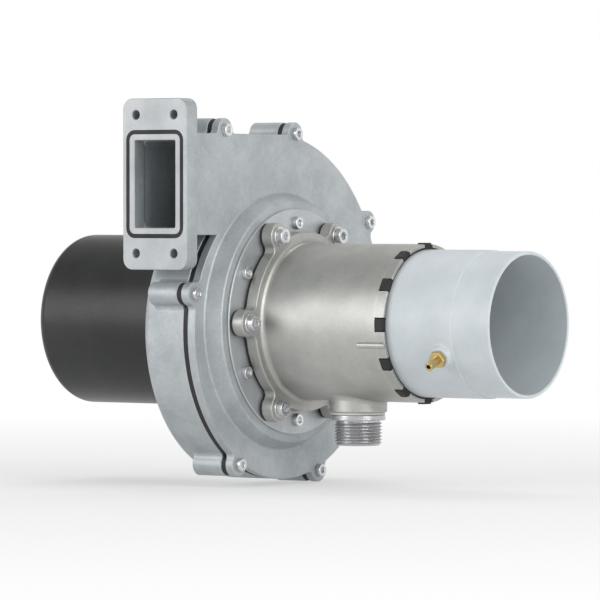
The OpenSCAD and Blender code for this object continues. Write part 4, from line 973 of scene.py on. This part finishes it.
# Motor cap: a deep black moulding pushed over the motor up to the flange. Its end is rounded and carries
# three small screws in the posts behind it.
cap_r = 48.0
cap_wall = 2.5
cap_in_r = cap_r - cap_wall
cap_front = flange_rear - 0.02
cap_end = -118.1
cap_floor = cap_end + cap_wall
groove_r = 40.4
groove_d = 0.6
post_r = 34.0
cap_screw = {"head_r": 2.6, "head_h": 2.0, "shank_r": 1.25}
black_moulding = surface(
    "black_moulding", dark=(0.018, 0.0187, 0.0197), light=(0.027, 0.0277, 0.0287), rough=(0.29, 0.36),
    rubbed=(0.06, 0.06, 0.062), width=0.0010, fineness=1300.0, bump=0.25)
black_moulding.node_tree.nodes["Principled BSDF"].inputs["Specular IOR Level"].default_value = 0.38
cap = bmesh.new()
cap_section = rounded([
    (cap_r, cap_front, 0.5), (cap_r, cap_end, 6), (groove_r + groove_d, cap_end, 0.4),
    (groove_r, cap_end + groove_d, 0), (groove_r - groove_d, cap_end, 0.4), (0, cap_end, 0),
    (0, cap_floor, 0), (cap_in_r, cap_floor, 3.5), (cap_in_r, cap_front, 0.3)])
turned(cap, cap_section, count=160)
piece("motor_drum", cap, "housing", "cap_plastic", black_moulding, "motor_cap")
post_spots = around(3, post_r, first=180)
screws("drum_screws", "cap_screws", "steel", turned_steel, post_spots, cap_end, to_motor,
       length=13.0, sizes=cap_screw)

# Impeller: back disc, curved blades and shroud pressed from aluminium sheet and riveted to a turned hub.
# A zinc-plated nut and washer hold the hub on the shaft.
dressed(rolled_sheet, "impeller_disc", "impeller_blades", "impeller_shroud")
dressed(turned_steel, "impeller_hub", "impeller_rivets")
nut_r = 5.8
nut_hole_r = 3.02
nut_high = 7.0
nut_washer_r = 6.8
nut_washer_low = 2.0
nut_washer_high = nut_washer_low + 1.0
nut = bmesh.new()
nut_loops = [circle(nut_r, count=6), circle(nut_hole_r, count=32)]
plate(nut, nut_loops, nut_washer_high - 0.4, nut_high, edge=0.35)
nut_washer = rounded([
    (nut_washer_r, nut_washer_low, 0.3), (nut_washer_r, nut_washer_high, 0.4),
    (nut_hole_r, nut_washer_high, 0), (nut_hole_r, nut_washer_low, 0)])
turned(nut, nut_washer, count=48)
piece("hub_nut", nut, "rotor", "zinc_steel", bright_zinc, "impeller_nut")

# Studio: a floor of white paper that fades into a white room, so that no horizon shows. Broad soft lamps
# stand before, beside and above the fan, and the camera is level with it.
floor_half = 6.0
ground = cad_box[0].z - 0.0005
sheet = bmesh.new()
for x, y in ((-1, -1), (1, -1), (1, 1), (-1, 1)):
    sheet.verts.new((x * floor_half, y * floor_half, ground))
sheet.faces.new(sheet.verts)
mesh = bpy.data.meshes.new("studio_floor")
sheet.to_mesh(mesh)
sheet.free()
floor = bpy.data.objects.new("studio_floor", mesh)
bpy.context.scene.collection.objects.link(floor)


def shown_rays(tree):
    """1 for rays that show the background itself: to the camera, in gloss and through glass."""
    ray = node(tree, "LightPath").outputs
    seen = reckon(tree, "MAXIMUM", ray["Is Camera Ray"], ray["Is Glossy Ray"])
    return reckon(tree, "MAXIMUM", seen, ray["Is Transmission Ray"])


paper = bpy.data.materials.new("white_paper")
paper.use_nodes = True
tree = paper.node_tree
matt = tree.nodes["Principled BSDF"]
matt.inputs["Base Color"].default_value = (0.86, 0.86, 0.86, 1)
matt.inputs["Roughness"].default_value = 0.9
spot = node(tree, "TexCoord").outputs["Object"]
under_fan = (0.03, 0.09, ground)
apart = node(tree, "VectorMath", {0: spot, 1: under_fan}, operation="DISTANCE").outputs["Value"]
fading = spread(tree, apart, 0.15, 1.1, first=0.45, last=1.0, interpolation_type="SMOOTHSTEP")
white = reckon(tree, "MULTIPLY", fading, shown_rays(tree))
glow = node(tree, "Emission", {"Strength": 1.0})
blended = node(tree, "MixShader", {0: white, 1: matt.outputs[0], 2: glow.outputs[0]})
tree.links.new(blended.outputs[0], tree.nodes["Material Output"].inputs["Surface"])
mesh.materials.append(paper)

world = bpy.data.worlds.new("white_room")
bpy.context.scene.world = world
world.use_nodes = True
tree = world.node_tree
ambient = 0.6
up = node(tree, "SeparateXYZ", {0: node(tree, "TexCoord").outputs["Generated"]}).outputs["Z"]
ceiling = spread(tree, up, 0.05, 0.75, first=1.0, last=0.42, interpolation_type="SMOOTHSTEP")
strength = node(tree, "Mix", {0: shown_rays(tree), 2: ambient, 3: ceiling}).outputs[0]
tree.links.new(strength, tree.nodes["Background"].inputs["Strength"])
tree.nodes["Background"].inputs["Color"].default_value = (1, 1, 1, 1)

centre = Vector((0.032, 0.0915, -0.0645))


def aimed(name, data, azimuth, elevation, distance):
    """A lamp or camera that looks at the fan, its azimuth counted from straight before the outlet."""
    a = math.radians(azimuth)
    e = math.radians(elevation)
    away = Vector((math.sin(a) * math.cos(e), -math.cos(a) * math.cos(e), math.sin(e)))
    made = bpy.data.objects.new(name, data)
    made.location = centre + away * distance
    made.rotation_euler = (-away).to_track_quat("-Z", "Y").to_euler()
    bpy.context.scene.collection.objects.link(made)
    return made


for name, azimuth, elevation, distance, size, power in (
        ("key_lamp", -30, 14, 2.2, 1.1, 12.5), ("fill_lamp", 75, 16, 2.2, 1.2, 19),
        ("top_lamp", 200, 65, 1.8, 1.0, 6)):
    lamp = bpy.data.lights.new(name, "AREA")
    lamp.energy = power
    lamp.size = size
    aimed(name, lamp, azimuth, elevation, distance)

camera_azimuth = 36
camera_elevation = 1
camera_distance = 3.0
view_width = 0.335
lens = bpy.data.cameras.new("camera")
lens.sensor_fit = "HORIZONTAL"
lens.sensor_width = 36.0
lens.lens = lens.sensor_width * camera_distance / view_width
bpy.context.scene.camera = aimed("camera", lens, camera_azimuth, camera_elevation, camera_distance)
bpy.context.scene.view_settings.view_transform = "Standard"
